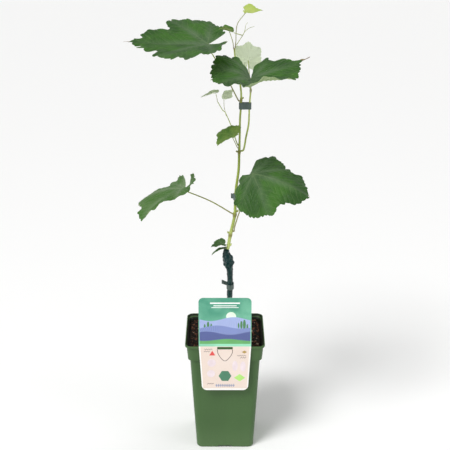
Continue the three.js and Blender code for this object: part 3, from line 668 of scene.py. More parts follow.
def reach(leaf, theta):
    """How far the smooth outline lies from the stalk at each angle, as a share of the length."""
    result = np.empty_like(theta)
    for half, chosen in ((leaf["right"], theta >= 0), (leaf["left"], theta < 0)):
        angles, reaches = np.array(half, float).T
        at = np.clip(np.degrees(np.abs(theta[chosen])), 0, angles[-1])
        step = np.clip(np.searchsorted(angles, at), 1, len(angles) - 1)
        share = (at - angles[step - 1]) / (angles[step] - angles[step - 1])
        ease = (1 - np.cos(math.pi * share)) / 2
        result[chosen] = reaches[step - 1] + (reaches[step] - reaches[step - 1]) * ease
    return result


def rim_walk(leaf, theta):
    """Distance along the smooth outline from the tip at each angle, and how squarely the rim faces out."""
    out = reach(leaf, theta)
    places = np.column_stack([out * np.sin(theta) * leaf["width"], out * np.cos(theta)])
    walked = np.concatenate([[0], np.cumsum(np.linalg.norm(np.diff(places, axis=0), axis=1))])
    walked = np.abs(walked - np.interp(0.0, theta, walked))
    facing = out / np.hypot(out, np.gradient(out, theta))
    return walked, facing


def spokes(leaf):
    """Angles of the blade's spokes, closer together where the outline runs outwards."""
    right, left = (math.radians(end) for end in leaf["ends"])
    even = np.linspace(-left, right, 1601)
    walked, _ = rim_walk(leaf, even)
    along = np.concatenate([[0], np.cumsum(np.abs(np.diff(walked)))])
    mixed = along / along[-1] + 0.8 * (even + left) / (right + left)
    count = 6 * round(2 * walked.max() / leaf["tooth_gap"]) + 40
    theta = np.interp(np.linspace(0, mixed[-1], count), mixed, even)
    theta[np.argmin(np.abs(theta))] = 0.0
    return theta


def scallops(walked, gap, chance):
    """Rounded teeth with sharp notches, of uneven width and size; the first one sits at the tip."""
    widths = gap * chance.uniform(0.6, 1.45, 90)
    sizes = chance.uniform(0.35, 1.15, 90) * widths / gap
    widths[0], sizes[0] = gap, 1.1
    edges = np.concatenate([[0], np.cumsum(widths)]) - gap / 2
    index = np.searchsorted(edges, walked, side="right") - 1
    share = (walked - edges[index]) / widths[index]
    return np.sin(math.pi * np.clip(share, 0, 1) ** 0.74) ** 0.75 * sizes[index]


def toothed_reach(leaf, theta, seed):
    """The outline with its teeth: coarse ones of uneven size, and small ones on them."""
    chance = np.random.default_rng(seed)
    walked, facing = rim_walk(leaf, theta)
    rise = np.zeros_like(theta)
    for half in (theta >= 0, theta < 0):
        coarse = scallops(walked[half], leaf["tooth_gap"], chance)
        small = scallops(walked[half], leaf["tooth_gap"] * 0.37, chance)
        rise[half] = coarse + 0.22 * small
    return reach(leaf, theta) + leaf["tooth"] * (rise - 0.55) * facing


def bend_blade(leaf, across, along, theta, share):
    """The bent middle surface of a blade, in leaf lengths: right, towards the tip, and up."""
    bend = np.radians(np.where(along >= 0, *leaf["bend"])).astype(float)
    bend[bend == 0] = 1e-5
    tilt = bend * along
    forward, sink = np.sin(tilt) / bend, -(1 - np.cos(tilt)) / bend
    left = across < 0
    fold = np.radians(np.where(left, *leaf["fold"]) + leaf["grow"] * along)
    curl = np.radians(np.where(left, *leaf["curl"])).astype(float)
    curl[curl == 0] = 1e-5
    distance = np.abs(across)
    out = np.sign(across) * (np.sin(fold + curl * distance) - np.sin(fold)) / curl
    up = (np.cos(fold) - np.cos(fold + curl * distance)) / curl
    up += leaf["wave"] * share ** 2 * np.cos(5 * theta + math.radians(leaf["phase"]))
    for at, height in leaf["lifts"]:
        up += height * share ** 2 * np.exp(-((theta - math.radians(at)) / math.radians(30)) ** 2)
    twist = math.radians(leaf["twist"]) * along
    out, up = out * np.cos(twist) - up * np.sin(twist), out * np.sin(twist) + up * np.cos(twist)
    return np.stack([out, forward + np.sin(tilt) * up, sink + np.cos(tilt) * up], axis=-1)


def blade_axes(leaf):
    """Rows: the plant's directions of the blade's right, tip and upper face."""
    yaw, pitch, roll = (math.radians(angle) for angle in leaf["turn"])
    forward = np.array([math.cos(yaw) * math.cos(pitch), math.sin(yaw) * math.cos(pitch), math.sin(pitch)])
    level = np.array([math.sin(yaw), -math.cos(yaw), 0.0])
    upright = np.cross(level, forward)
    right = level * math.cos(roll) + upright * math.sin(roll)
    normal = upright * math.cos(roll) - level * math.sin(roll)
    return np.array([right, forward, normal])


def nearest_vein(theta, radius):
    """Distance along and off the nearest main vein, for points given by angle and radius."""
    off = np.min(np.abs(theta[..., None] - np.radians(MAIN_VEINS)), axis=-1)
    return radius * np.cos(off), radius * np.sin(np.minimum(off, math.pi / 2))


def blade_mesh(leaf, settings, seed):
    """A blade as a closed sheet with teeth, veins and puckers: its points, faces and point values."""
    size = leaf["length"]
    shares = np.concatenate([np.linspace(0, 0.96, max(12, round(size / 3.6))), [0.985, 1.0]])
    theta = spokes(leaf)
    share, angle = np.meshgrid(shares, theta, indexing="ij")
    smooth, toothed = reach(leaf, theta), toothed_reach(leaf, theta, seed)
    outer = smooth + (toothed - smooth) * np.clip((share - 0.55) / 0.45, 0, 1) ** 1.5
    radius = share * outer
    across, along = radius * np.sin(angle) * leaf["width"], radius * np.cos(angle)
    middle = bend_blade(leaf, across, along, angle, share)
    middle = middle @ blade_axes(leaf) * size + np.array(leaf["at"])

    normal = np.cross(np.gradient(middle, axis=1), np.gradient(middle, axis=0))
    normal[0] = normal[1].mean(axis=0)
    normal /= np.linalg.norm(normal, axis=-1)[..., None] + 1e-12

    on_vein, off_vein = nearest_vein(angle, radius * size)
    spacing = 0.11 * size
    phase = (on_vein - off_vein) / spacing
    flat = np.stack([across * size, along * size, np.full_like(across, seed * 50.0)], axis=-1)
    broad = perlin(flat.reshape(-1, 3), size * 0.3, seed).reshape(share.shape)
    phase = phase + 0.35 * broad
    between = np.sin(math.pi * phase) ** 2
    away = 1 - np.exp(-(off_vein / (0.035 * size)) ** 2)
    inside = np.clip((1 - share) / 0.12, 0, 1) * np.clip(share / 0.2, 0, 1)
    scale = min(1.0, size / 80) * settings.pucker / MM
    relief = scale * inside * away * (between + 0.9 * broad)
    walked, _ = rim_walk(leaf, theta)
    teeth_passed = walked / leaf["tooth_gap"]
    ruffle = np.sin(teeth_passed * 2.1 + seed) + 0.6 * np.sin(teeth_passed * 3.7)
    relief += leaf["frill"] * min(1.0, size / 80) * share ** 4 * ruffle
    middle = middle + normal * relief[..., None]

    thick = max(settings.thickness / MM, 0.3) * (1 - 0.55 * share ** 6)
    thick = thick + 0.85 * np.exp(-(off_vein / 0.8) ** 2) * (1 - share) * min(1.0, size / 60)
    half = normal * (thick / 2)[..., None]
    upper, under = middle + half, middle - half
    points, faces = sheet_faces(upper, under)

    def both(values):
        body = values[1:].reshape(-1, *values.shape[2:])
        one = np.concatenate([values[:1, 0], body])
        return np.concatenate([one, one])

    count = len(points) // 2
    values = {
        "off_vein": both(off_vein), "side_phase": both(phase), "rim_share": both(share),
        "flat_place": both(flat), "underside": np.repeat([0.0, 1.0], count),
    }
    return points, faces, values, (theta, middle[-1], middle[-4])


def sheet_faces(upper, under):
    """Closes two grids of points, rings by spokes, into one sheet; the first ring is a single point."""
    rings, row = upper.shape[0] - 1, upper.shape[1]
    one = 1 + rings * row

    def at(ring, spoke, face):
        return face * one + (0 if ring == 0 else 1 + (ring - 1) * row + spoke)

    grids = [(grid[:1, 0], grid[1:].reshape(-1, 3)) for grid in (upper, under)]
    points = np.vstack([part for grid in grids for part in grid])
    faces = []
    for spoke in range(row - 1):
        faces.append((at(0, 0, 0), at(1, spoke + 1, 0), at(1, spoke, 0)))
        faces.append((at(0, 0, 1), at(1, spoke, 1), at(1, spoke + 1, 1)))
        for ring in range(1, rings):
            a, b = at(ring, spoke, 0), at(ring, spoke + 1, 0)
            faces.append((a, b, b + row, a + row))
            faces.append((a + one, a + row + one, b + row + one, b + one))
        rim, beyond = at(rings, spoke, 0), at(rings, spoke + 1, 0)
        faces.append((rim, beyond, beyond + one, rim + one))
    for ring in range(rings):
        a, d = at(ring, 0, 0), at(ring + 1, 0, 0)
        faces.append((a, d, d + one, a + one))
        a, d = at(ring, row - 1, 0), at(ring + 1, row - 1, 0)
        faces.append((d, a, a + one, d + one))
    return points, faces


def leaf_pieces(node, leaf, seed, settings, blade_material, stalk_material):
    """The blade and the stalk of one leaf, which together stand for its node."""
    points, faces, values, rim = blade_mesh(leaf, settings, seed)
    name = node.replace("leaf_", "")
    blade = mesh_object("blade_" + name, points, faces, blade_material, sharp=60)
    for label, value in values.items():
        point_values(blade, label, value)
    keep(blade, leaf["kind"], node)

    thick = leaf["stalk"]
    taper = [[0, thick * 1.5], [0.06, thick], [0.93, thick * 0.85], [1, thick * 0.5]]
    end = np.array(leaf["at"]) + blade_axes(leaf)[1] * MIDRIB_RUN * thick
    stalk_limb = {"points": [*leaf["stalk_path"], end.tolist()], "radii": taper}
    stalk = limb_piece("stalk_" + name, stalk_limb, stalk_material, 60, 12, ridge=0.05, tone=(0.2, 0.9))
    keep(stalk, "shoot", node)
    for number, tail in enumerate(leaf["tails"]):
        keep(withered_tail(f"tail_{name}_{number}", rim, *tail, stalk_material), "shoot")


def withered_tail(name, rim, at, length, thick, sag, material):
    """A dried thread on the rim, at an angle from the tip: its length, its radius, and how far it sags."""
    theta, edge, inner = rim
    spoke = int(np.argmin(np.abs(theta - math.radians(at))))
    out = unit(edge[spoke] - inner[spoke])
    start, drop = edge[spoke] - out * 1.5, np.array([0, 0, -sag])
    line = [start, start + out * length * 0.4 - drop * 0.6, start + out * length * 0.75,
            start + out * length + drop]

    def radius(share, _):
        return thick * (1 - 0.75 * share) * (1 + 0.3 * np.sin(9 * share))

    points, faces, share = tube(line, radius, 24, 8)
    return bark_piece(name, points, faces, material, 0.0, 0.4 + 0.6 * share)


# ---------------------------------------------------------------- leaf and shoot materials
def leaf_material(name, upper, darker, reflection, vein, under, vein_width):
    """A blade's finish: veined and patchy above, with a painted grey reflection near the veins and towards
    the middle, paler and matt below.
    """
    made = new_material(name, specular=0.22, sheen=0.04)
    tree = made[1]
    net = place(tree, "Group", {"Width": vein_width}, node_tree=vein_group()).outputs
    veins, height = net["Veins"], net["Height"]
    patch, fine = mottle(tree, 34.0, 420.0)
    lamina = blend_color(tree, smooth_step(tree, patch, 0.36, 0.66), darker, upper)
    rim = point_value(tree, "rim_share")
    near_vein = smooth_step(tree, point_value(tree, "off_vein"), 0.0, 11.0, 1.0, 0.0)
    # Painted reflection: a grey tint near the veins and towards the middle of the upper face, where the
    # gloss would mirror the sky.
    grey = math_node(tree, "MULTIPLY", near_vein, math_node(tree, "SUBTRACT", 1.15, rim))
    grey = math_node(tree, "MULTIPLY", grey, smooth_step(tree, patch, 0.3, 0.75, 0.35, 1.0), clamp=True)
    lamina = blend_color(tree, grey, lamina, reflection)
    lamina = blend_color(tree, math_node(tree, "MULTIPLY", veins, 0.55), lamina, vein)
    shade = smooth_step(tree, fine, 0.3, 0.75, 0.0, 0.16)
    lamina = blend_color(tree, shade, lamina, darker)
    pale_vein = tuple(min(1.0, value * 1.5) for value in under)
    below = blend_color(tree, math_node(tree, "MULTIPLY", veins, 0.9), under, pale_vein)
    below = blend_color(tree, smooth_step(tree, patch, 0.3, 0.8, 0.0, 0.35), below, upper)
    side = smooth_step(tree, point_value(tree, "underside"), 0.4, 0.6)
    color = blend_color(tree, side, lamina, below)
    rough = smooth_step(tree, patch, 0.3, 0.7, 0.42, 0.58)
    rough = math_node(tree, "ADD", rough, math_node(tree, "MULTIPLY", side, 0.25))
    return dressed(made, color, rough, height, 0.00024)


def shoot_material(name, pale, green, joint):
    """Soft green bark: paler at its foot, brownish at the joints, with fine dark streaks along it that stand
    partly for painted shade.
    """
    made = new_material(name, specular=0.25)
    tree = made[1]
    patch, fine = mottle(tree, 120.0, 1600.0, 0.12)
    tone = math_node(tree, "ADD", point_value(tree, "tone"),
                     smooth_step(tree, patch, 0.3, 0.7, -0.18, 0.18), clamp=True)
    color = blend_color(tree, tone, pale, green)
    # Dark streaks from random patches: partly real streaking, partly painted shade standing in for the
    # shoots' shaded side.
    streak = math_node(tree, "MULTIPLY", smooth_step(tree, patch, 0.5, 0.64, 0.0, 0.45), tone)
    color = blend_color(tree, streak, color, tuple(value * 0.45 for value in green))
    mark = math_node(tree, "MULTIPLY", point_value(tree, "joint"), 0.75)
    mark = math_node(tree, "ADD", mark, smooth_step(tree, fine, 0.45, 0.8, 0.0, 0.3), clamp=True)
    color = blend_color(tree, mark, color, joint)
    return dressed(made, color, smooth_step(tree, patch, 0.3, 0.7, 0.38, 0.52), fine, 0.0002)


# ---------------------------------------------------------------- pot
POT_HEIGHT = 182.0
LIP_HEIGHT = 4.0
COLLAR_HEIGHT = 26.0
COLLAR_Z = POT_HEIGHT - COLLAR_HEIGHT
WAIST_Z = 87.0
WAIST_HALF = 49.0
CORNER = 9.0
DRAIN_RADIUS = 5.0
DRAIN_INSET = 17.0
RIM_HALF = float(box_mm("pot")[1][0])
BASE_HALF = 44.0
COLLAR_HALF = RIM_HALF - 2.3
COLLAR_FOOT = COLLAR_HALF - 1.9
BODY_TOP = COLLAR_FOOT - 3.0
SOIL_TOP = float(box_mm("soil")[1][2])


def inner_half(z, wall):
    """Half the width of the pot's inside at a height."""
    if z >= COLLAR_Z + wall:
        low, high, foot, top = COLLAR_Z, POT_HEIGHT - LIP_HEIGHT, COLLAR_FOOT, COLLAR_HALF
    elif z >= WAIST_Z:
        low, high, foot, top = WAIST_Z, COLLAR_Z, WAIST_HALF, BODY_TOP
    else:
        low, high, foot, top = 0.0, WAIST_Z, BASE_HALF, WAIST_HALF
    return foot + (top - foot) * (z - low) / (high - low) - wall


def square_ring(half, corner, z, steps=10, straight=6):
    """One level ring of a square with rounded corners, anticlockwise seen from above."""
    ring = []
    centre = half - corner
    for quarter in range(4):
        turn = quarter * TURN / 4
        sign_x, sign_y = ((1, 1), (-1, 1), (-1, -1), (1, -1))[quarter]
        for i in range(steps + 1):
            angle = turn + i / steps * TURN / 4
            ring.append((sign_x * centre + corner * math.cos(angle),
                         sign_y * centre + corner * math.sin(angle), z))
        start = np.array(ring[-1])
        direction = np.array([-math.sin(turn + TURN / 4), math.cos(turn + TURN / 4), 0]) * 2 * centre
        ring.extend(tuple(start + direction * k / straight) for k in range(1, straight))
    return ring


def rounded_step(profile, radius, steps=4):
    """Rounds the corners of a profile of (half width, height, corner radius, round?) rows."""
    result = []
    for i, (half, z, corner, rounded) in enumerate(profile):
        if not rounded:
            result.append((half, z, corner))
            continue
        here = np.array([half, z])
        before = np.array(profile[i - 1][:2]) - here
        after = np.array(profile[i + 1][:2]) - here
        cut = min(radius, 0.45 * np.linalg.norm(before), 0.45 * np.linalg.norm(after))
        first, last = here + unit(before) * cut, here + unit(after) * cut
        for step in range(steps + 1):
            t = step / steps
            point = first * (1 - t) ** 2 + here * 2 * t * (1 - t) + last * t ** 2
            result.append((point[0], point[1], corner))
    return result


def box_mesh(size, centre):
    """Points and faces of a box."""
    corners = np.array([(x, y, z) for z in (-1, 1) for x, y in SQUARE])
    faces = [(3, 2, 1, 0), (4, 5, 6, 7), (0, 1, 5, 4), (1, 2, 6, 5), (2, 3, 7, 6), (3, 0, 4, 7)]
    return corners * np.array(size) / 2 + np.array(centre), faces


def turned(part, quarter):
    """A part turned about the upright axis by quarters of a turn."""
    points, faces = part
    angle = quarter * TURN / 4
    cosine, sine = math.cos(angle), math.sin(angle)
    spin = np.array([[cosine, sine, 0], [-sine, cosine, 0], [0, 0, 1]])
    return np.asarray(points) @ spin, faces


def pot_cutters(wall):
    """The foot notches, drain holes and lip slots as one set of cutting solids."""
    parts = []
    centre = BASE_HALF - DRAIN_INSET
    drain = skin([[(centre + x, centre + y, z) for x, y in arc((0, 0), DRAIN_RADIUS, 0, 4, 24)[:-1]]
                  for z in (-4.0, 3 * wall)])
    for quarter in range(4):
        parts.append(turned(box_mesh((21.5, 14, 3), (0, -BASE_HALF, 1.49)), quarter))
        parts.append(turned(drain, quarter))
    for side in (-1, 1):
        parts.append(box_mesh((12, 7, 1.6), (side * RIM_HALF, 0, POT_HEIGHT - 0.79)))
    return join_parts(parts)


def pot_shell(settings):
    """The pot's wall, floor, collar and lip as one closed shell with rounded edges."""
    wall = settings.wall / MM
    outside = [
        (BASE_HALF - 1.5, 0, CORNER - 1.5, False), (BASE_HALF, 1.5, CORNER, True),
        (BASE_HALF + 0.17, 3.0, CORNER, False), (WAIST_HALF, WAIST_Z, CORNER, False),
        (BODY_TOP, COLLAR_Z, CORNER, True), (COLLAR_FOOT, COLLAR_Z, CORNER, True),
        (COLLAR_HALF, POT_HEIGHT - LIP_HEIGHT, CORNER, True),
        (RIM_HALF, POT_HEIGHT - LIP_HEIGHT, CORNER + 1.5, True), (RIM_HALF, POT_HEIGHT, CORNER + 1.5, True),
    ]
    inside = [(RIM_HALF - 1.5, POT_HEIGHT, CORNER, True), (RIM_HALF - 1.9, POT_HEIGHT - 2, CORNER, False),
              (RIM_HALF - 3.9, POT_HEIGHT - LIP_HEIGHT - 1.4, CORNER - wall, True)]
    inside += [(inner_half(z, wall), z, CORNER - wall, True)
               for z in (SOIL_TOP, COLLAR_Z + wall, COLLAR_Z + wall - 0.4, WAIST_Z)]
    inside.append((inner_half(wall, wall), wall, CORNER - wall, False))
    profile = rounded_step(outside + inside, 1.0)
    rings = [square_ring(half, corner, z) for half, z, corner in profile]
    return skin(rings, (0, 0, 0), (0, 0, wall))


def pot_material(settings):
    """Moulded plastic: satin, faintly streaked by the mould, lighter towards its foot, with painted shade on
    the inside of the wall.
    """
    made = new_material("Pot plastic", specular=0.3)
    tree = made[1]
    patch, fine = mottle(tree, 16.0, 700.0, 0.35)
    where = where_node(tree)
    color = blend_color(tree, smooth_step(tree, patch, 0.3, 0.72, 0.0, 0.55), settings.color,
                        tuple(value * 1.22 for value in settings.color))
    # Lighter towards the foot.
    low = smooth_step(tree, where["Z"], 0.0, 0.05, 0.35, 0.0)
    color = blend_color(tree, low, color, srgb(96, 124, 82))
    scuff = smooth_step(tree, fine, 0.62, 0.8, 0.0, 0.25)
    color = blend_color(tree, scuff, color, srgb(104, 128, 88))
    # Painted shade: the inside of the wall, from the peat up to the rim's top, is darkened to near black.
    inside = smooth_step(tree, point_value(tree, "inside"), 0.3, 0.7)
    below_top = smooth_step(tree, where["Z"], (POT_HEIGHT - 0.8) * MM, (POT_HEIGHT - 0.2) * MM, 1.0, 0.0)
    inner = math_node(tree, "MULTIPLY", inside, below_top)
    color = blend_color(tree, inner, color, settings.inner_shade_color)
    return dressed(made, color, smooth_step(tree, patch, 0.3, 0.7, 0.36, 0.5), fine, 0.00006)


class VINE_OT_build_pot(bpy.types.Operator):
    """Build the moulded pot with its collar, lip, feet and drain holes"""
    bl_idname = "vine.build_pot"
    bl_label = "Pot"

    def execute(self, context):
        settings = context.scene.vine_pot
        material = pot_material(settings)
        shell = mesh_object("pot_blank", *pot_shell(settings), material)
        cutter = mesh_object("pot_cutter", *pot_cutters(settings.wall / MM), material)
        cut = shell.modifiers.new("openings", "BOOLEAN")
        cut.operation, cut.solver, cut.object = "DIFFERENCE", "EXACT", cutter
        pot = baked(shell, "pot_shell")
        bpy.data.objects.remove(cutter)
        points = np.array([vertex.co for vertex in pot.data.vertices]) / MM
        wall = settings.wall / MM
        outer = np.array([inner_half(min(z, POT_HEIGHT), wall) + wall for z in points[:, 2]])
        lip = points[:, 2] > POT_HEIGHT - LIP_HEIGHT
        outer[lip] = RIM_HALF
        corner = np.where(lip, CORNER + 1.5, CORNER)
        past = np.maximum(np.abs(points[:, :2]) - (outer - corner)[:, None], 0)
        inside = (np.hypot(*past.T) < corner - wall * 0.5) & (points[:, 2] > wall * 0.9)
        point_values(pot, "inside", inside.astype(float))
        pot.data.set_sharp_from_angle(angle=math.radians(40))
        keep(pot, "pot", "pot")
        return {"FINISHED"}


# ---------------------------------------------------------------- peat
def peat_surface(settings, rings=44):
    """Rings of points on the peat's lumpy surface, from its edge to its middle."""
    wall = settings_wall()
    edge = inner_half(SOIL_TOP, wall) - GAP
    levels = []
    for step in range(rings):
        share = 1 - step / rings
        half = max(edge * share, 0.8)
        ring = np.array(square_ring(half, min(CORNER - wall, half * 0.98), SOIL_TOP))
        levels.append(ring)
    surface = np.array(levels)
    flat = surface.reshape(-1, 3)
    height = perlin(flat, 14.0, 3) + 0.6 * perlin(flat, 5.0, 5) + 0.35 * perlin(flat, 2.2, 7)
    rim = np.repeat(1 - np.arange(rings) / rings, surface.shape[1])
    sunk = -1.6 * np.clip((rim - 0.86) / 0.14, 0, 1)
    surface[..., 2] += (height * settings.relief / MM + sunk - 1.2).reshape(surface.shape[:2])
    return surface


def settings_wall():
    return bpy.context.scene.vine_pot.wall / MM


def peat_material(settings):
    """Damp peat: dark, with reddish crumbs, from each crumb's own tone."""
    made = new_material("Peat", specular=0.25)
    tree = made[1]
    patch, fine = mottle(tree, 140.0, 1500.0)
    own = point_value(tree, "crumb_tone")
    tone = math_node(tree, "ADD", smooth_step(tree, own, 0.4, 0.9, 0.0, 0.9),
                     smooth_step(tree, patch, 0.5, 0.8, 0.0, 0.25), clamp=True)
    color = blend_color(tree, tone, settings.dark, settings.light)
    color = blend_color(tree, smooth_step(tree, own, 0.93, 0.96, 0.0, 0.85), color, settings.pale)
    color = blend_color(tree, smooth_step(tree, fine, 0.55, 0.8, 0.0, 0.3), color, srgb(104, 74, 56))
    return dressed(made, color, smooth_step(tree, patch, 0.3, 0.7, 0.6, 0.95), fine, 0.0006)


def scatter_tree(name, shape):
    """A Geometry Nodes tree that strews small shapes over a surface, each turned and sized at random."""
    tree = bpy.data.node_groups.new(name, "GeometryNodeTree")
    face = tree.interface
    face.new_socket("Geometry", in_out="INPUT", socket_type="NodeSocketGeometry")
    sockets = {}
    for label, kind in (("Density", "Float"), ("Size", "Float"), ("Roughen", "Float"), ("Seed", "Int"),
                        ("Material", "Material")):
        socket = face.new_socket(label, in_out="INPUT", socket_type="NodeSocket" + kind)
        sockets[label] = socket.identifier
    face.new_socket("Geometry", in_out="OUTPUT", socket_type="NodeSocketGeometry")
    start = tree.nodes.new("NodeGroupInput").outputs
    end = tree.nodes.new("NodeGroupOutput")

    def step(kind, inputs, **options):
        return add_node(tree, "GeometryNode" + kind, inputs, **options).outputs[0]

    def vectors(operation, first, inputs):
        return place(tree, "VectorMath", {0: first, **inputs}, operation=operation).outputs[0]

    def chance(shift, low, high):
        """A random vector, or a random number, for each shape."""
        seed = math_node(tree, "ADD", start["Seed"], shift)
        kind, first = ("FLOAT_VECTOR", 0) if isinstance(high, tuple) else ("FLOAT", 2)
        node = add_node(tree, "FunctionNodeRandomValue", {first: low, first + 1: high, "Seed": seed},
                        data_type=kind)
        return node.outputs[first // 2]

    if shape == "crumb":
        body = step("MeshIcoSphere", {"Radius": 0.5, "Subdivisions": 2})
        lay, most_turn = (0.0, 0.0, 0.0), (TURN, TURN, TURN)
    else:
        body = step("MeshCone", {"Vertices": 5, "Radius Top": 0.05, "Radius Bottom": 0.09, "Depth": 2.4},
                    fill_type="TRIANGLE_FAN")
        lay, most_turn = (math.pi / 2, 0.0, 0.0), (0.3, 0.3, TURN)
    laid = step("Transform", {"Geometry": body, "Rotation": lay})
    places = step("DistributePointsOnFaces", {"Mesh": start["Geometry"], "Density": start["Density"],
                                              "Seed": start["Seed"]}, distribute_method="RANDOM")
    share = math_node(tree, "POWER", chance(3, 0.25, 1.0), 2.0)
    least = math_node(tree, "MULTIPLY", start["Size"], 0.28)
    size = place(tree, "Math", {0: share, 1: start["Size"], 2: least}, operation="MULTIPLY_ADD").outputs[0]
    scale = vectors("SCALE", chance(2, (0.45, 0.35, 0.25), (1.0, 1.0, 0.8)), {"Scale": size})
    copies = step("InstanceOnPoints", {"Points": places, "Instance": laid, "Scale": scale,
                                       "Rotation": chance(1, (0.0, 0.0, 0.0), most_turn)})
    tone = add_node(tree, "FunctionNodeRandomValue", data_type="FLOAT").outputs[1]
    toned = step("StoreNamedAttribute", {"Geometry": copies, "Name": "crumb_tone", "Value": tone},
                 data_type="FLOAT", domain="INSTANCE")
    real = step("RealizeInstances", {"Geometry": toned})
    rough = place(tree, "TexNoise", {"Scale": 430.0}).outputs["Color"]
    push = vectors("SCALE", vectors("SUBTRACT", rough, {1: (0.5, 0.5, 0.5)}), {"Scale": start["Roughen"]})
    moved = step("SetPosition", {"Geometry": real, "Offset": push})
    painted = step("SetMaterial", {"Geometry": moved, "Material": start["Material"]})
    tree.links.new(painted, end.inputs[0])
    return tree, sockets


def pressed_in(at):
    """Presses whatever would pass through the pot's wall flat against its inside."""
    wall = settings_wall()
    corner = CORNER - wall
    levels = (SOIL_TOP - 8, SOIL_TOP + 5)
    half = np.interp(at[:, 2], levels, [inner_half(z, wall) for z in levels])[:, None] - GAP
    past = np.maximum(np.abs(at[:, :2]) - (half - corner), 0)
    far = np.hypot(*past.T)[:, None]
    shrink = np.minimum(1, corner / np.maximum(far, 1e-6))
    held = np.minimum(np.abs(at[:, :2]), half - corner) + past * shrink
    return np.column_stack([np.sign(at[:, :2]) * held, at[:, 2]])


def strewn(name, surface, shape, seed, material, density, size, roughen):
    """A piece of small shapes strewn over a grid of surface points."""
    rings, sides, _ = surface.shape
    bed = mesh_object(name + "_bed", surface.reshape(-1, 3), ring_faces(rings, sides), material)
    tree, sockets = scatter_tree(name + " tree", shape)
    modifier = bed.modifiers.new("strew", "NODES")
    modifier.node_group = tree
    for label, value in (("Density", density), ("Size", size), ("Roughen", roughen), ("Seed", seed),
                         ("Material", material)):
        modifier[sockets[label]] = value
    piece = baked(bed, name)
    move_points(piece, pressed_in)
    piece.data.shade_flat()
    return piece


class VINE_OT_build_peat(bpy.types.Operator):
    """Build the peat with its crumbs and fibres"""
    bl_idname = "vine.build_peat"
    bl_label = "Peat"

    def execute(self, context):
        settings = context.scene.vine_peat
        material = peat_material(settings)
        wall = settings_wall()
        surface = peat_surface(settings)
        below = [square_ring(inner_half(z, wall) - GAP, CORNER - wall, z)
                 for z in (wall + GAP, WAIST_Z, COLLAR_Z + wall - 0.8, SOIL_TOP - 6)]
        rings = np.vstack([np.array(below), surface])
        centre = surface[-1].mean(axis=0)
        points, faces = skin(rings, (0, 0, wall + GAP), centre)
        peat = mesh_object("peat_bed", points, faces, material, sharp=80)
        point_values(peat, "crumb_tone", np.full(len(points), 0.2))
        keep(peat, "soil", "soil")
        inner = surface[2:]
        for name, shape, shift, density, size, roughen in (
                ("peat_crumbs", "crumb", 0, 80000.0, settings.crumb, 0.0021),
                ("peat_grit", "crumb", 11, 130000.0, settings.crumb * 0.5, 0.0013),
                ("peat_fibres", "fibre", 23, 12000.0, settings.crumb * 0.6, 0.0006)):
            piece = strewn(name, inner, shape, settings.seed + shift, material, density, size, roughen)
            if not piece.data.polygons:
                raise RuntimeError("the strewn piece " + name + " came out empty")
            keep(piece, "soil")
        return {"FINISHED"}


# ---------------------------------------------------------------- trunk
# Height, bearing, rise and spread of the knobs where the graft has healed under its wax.
KNOBS = ((301.5, 5, 1.3, 2.6), (293.5, -12, 1.8, 3.4), (289, 190, 1.2, 4.2), (297, -95, 1.2, 3.0),
         (303, -120, 0.9, 2.2), (287, -60, 0.8, 3.0), (298, 100, 1.2, 3.4), (286, 60, 0.8, 4.0),
         (306, -20, -0.9, 1.6), (304, 200, 0.8, 2.4))


def wax_material(settings):
    """Grafting wax: dark, glossy, lumpy, worn paler on its high spots."""
    made = new_material("Grafting wax", specular=0.3, coat=0.12)
    tree = made[1]
    patch, fine = mottle(tree, 260.0, 900.0, 0.5)
    height = where_node(tree)["Z"]
    low = smooth_step(tree, height, 0.2, 0.26, 1.0, 0.0)
    rubbed = math_node(tree, "MULTIPLY", low, smooth_step(tree, fine, 0.35, 0.65, 0.5, 1.0))
    worn = math_node(tree, "ADD", smooth_step(tree, patch, 0.54, 0.74, 0.0, 0.6), rubbed, clamp=True)
    color = blend_color(tree, worn, settings.color, settings.worn)
    color = blend_color(tree, smooth_step(tree, fine, 0.68, 0.78, 0.0, 0.4), color, srgb(120, 170, 158))
    return dressed(made, color, smooth_step(tree, patch, 0.3, 0.7, 0.14, 0.34), patch, 0.0009)


class VINE_OT_build_trunk(bpy.types.Operator):
    """Build the waxed rootstock with its swollen graft"""
    bl_idname = "vine.build_trunk"
    bl_label = "Trunk"

    def execute(self, context):
        settings = context.scene.vine_trunk
        limb = LIMBS["trunk"]
        lump = settings.lump / MM

        def radius(share, length):
            rounded = np.sqrt(np.clip(1 - (1 - np.clip((1 - share) * length / 1.6, 0, 1)) ** 2, 0.05, 1))
            return limb_radius(limb, share, length) * rounded

        def relief(rings, angle, share, length):
            flat = rings.reshape(-1, 3)
            coarse = perlin(flat, 6.5, 11).reshape(rings.shape[:2])
            medium = perlin(flat, 2.8, 12).reshape(rings.shape[:2])
            graft = np.exp(-((share - 0.86) / 0.09) ** 2)[:, None]
            base = np.clip(share * length / 3, 0, 1)[:, None]
            wax = lump * (coarse * (0.45 + 1.1 * graft) + medium * (0.35 + 0.7 * graft))
            for height, bearing, rise, spread in KNOBS:
                turn = (angle - math.radians(bearing) + TURN / 2) % TURN - TURN / 2
                far = ((rings[..., 2] - height) / spread) ** 2 + (turn[None, :] * 6 / spread) ** 2
                wax = wax + rise * np.exp(-far)
            return base * wax

        shape = tube(limb["points"], radius, 190, 48, relief)[:2]
        keep(mesh_object("waxed_trunk", *shape, wax_material(settings), sharp=75), "wax", "trunk")
        return {"FINISHED"}


# ---------------------------------------------------------------- shoots
# The limb that each axil bud sits on, its height, its bearing and its size.
AXIL_BUDS = (("shoot_lower", 339.5, 150, 1.5), ("shoot_lower", 375, -10, 1.6),
             ("shoot_lower", 466, 170, 1.3), ("shoot_left", 545, 30, 1.2))
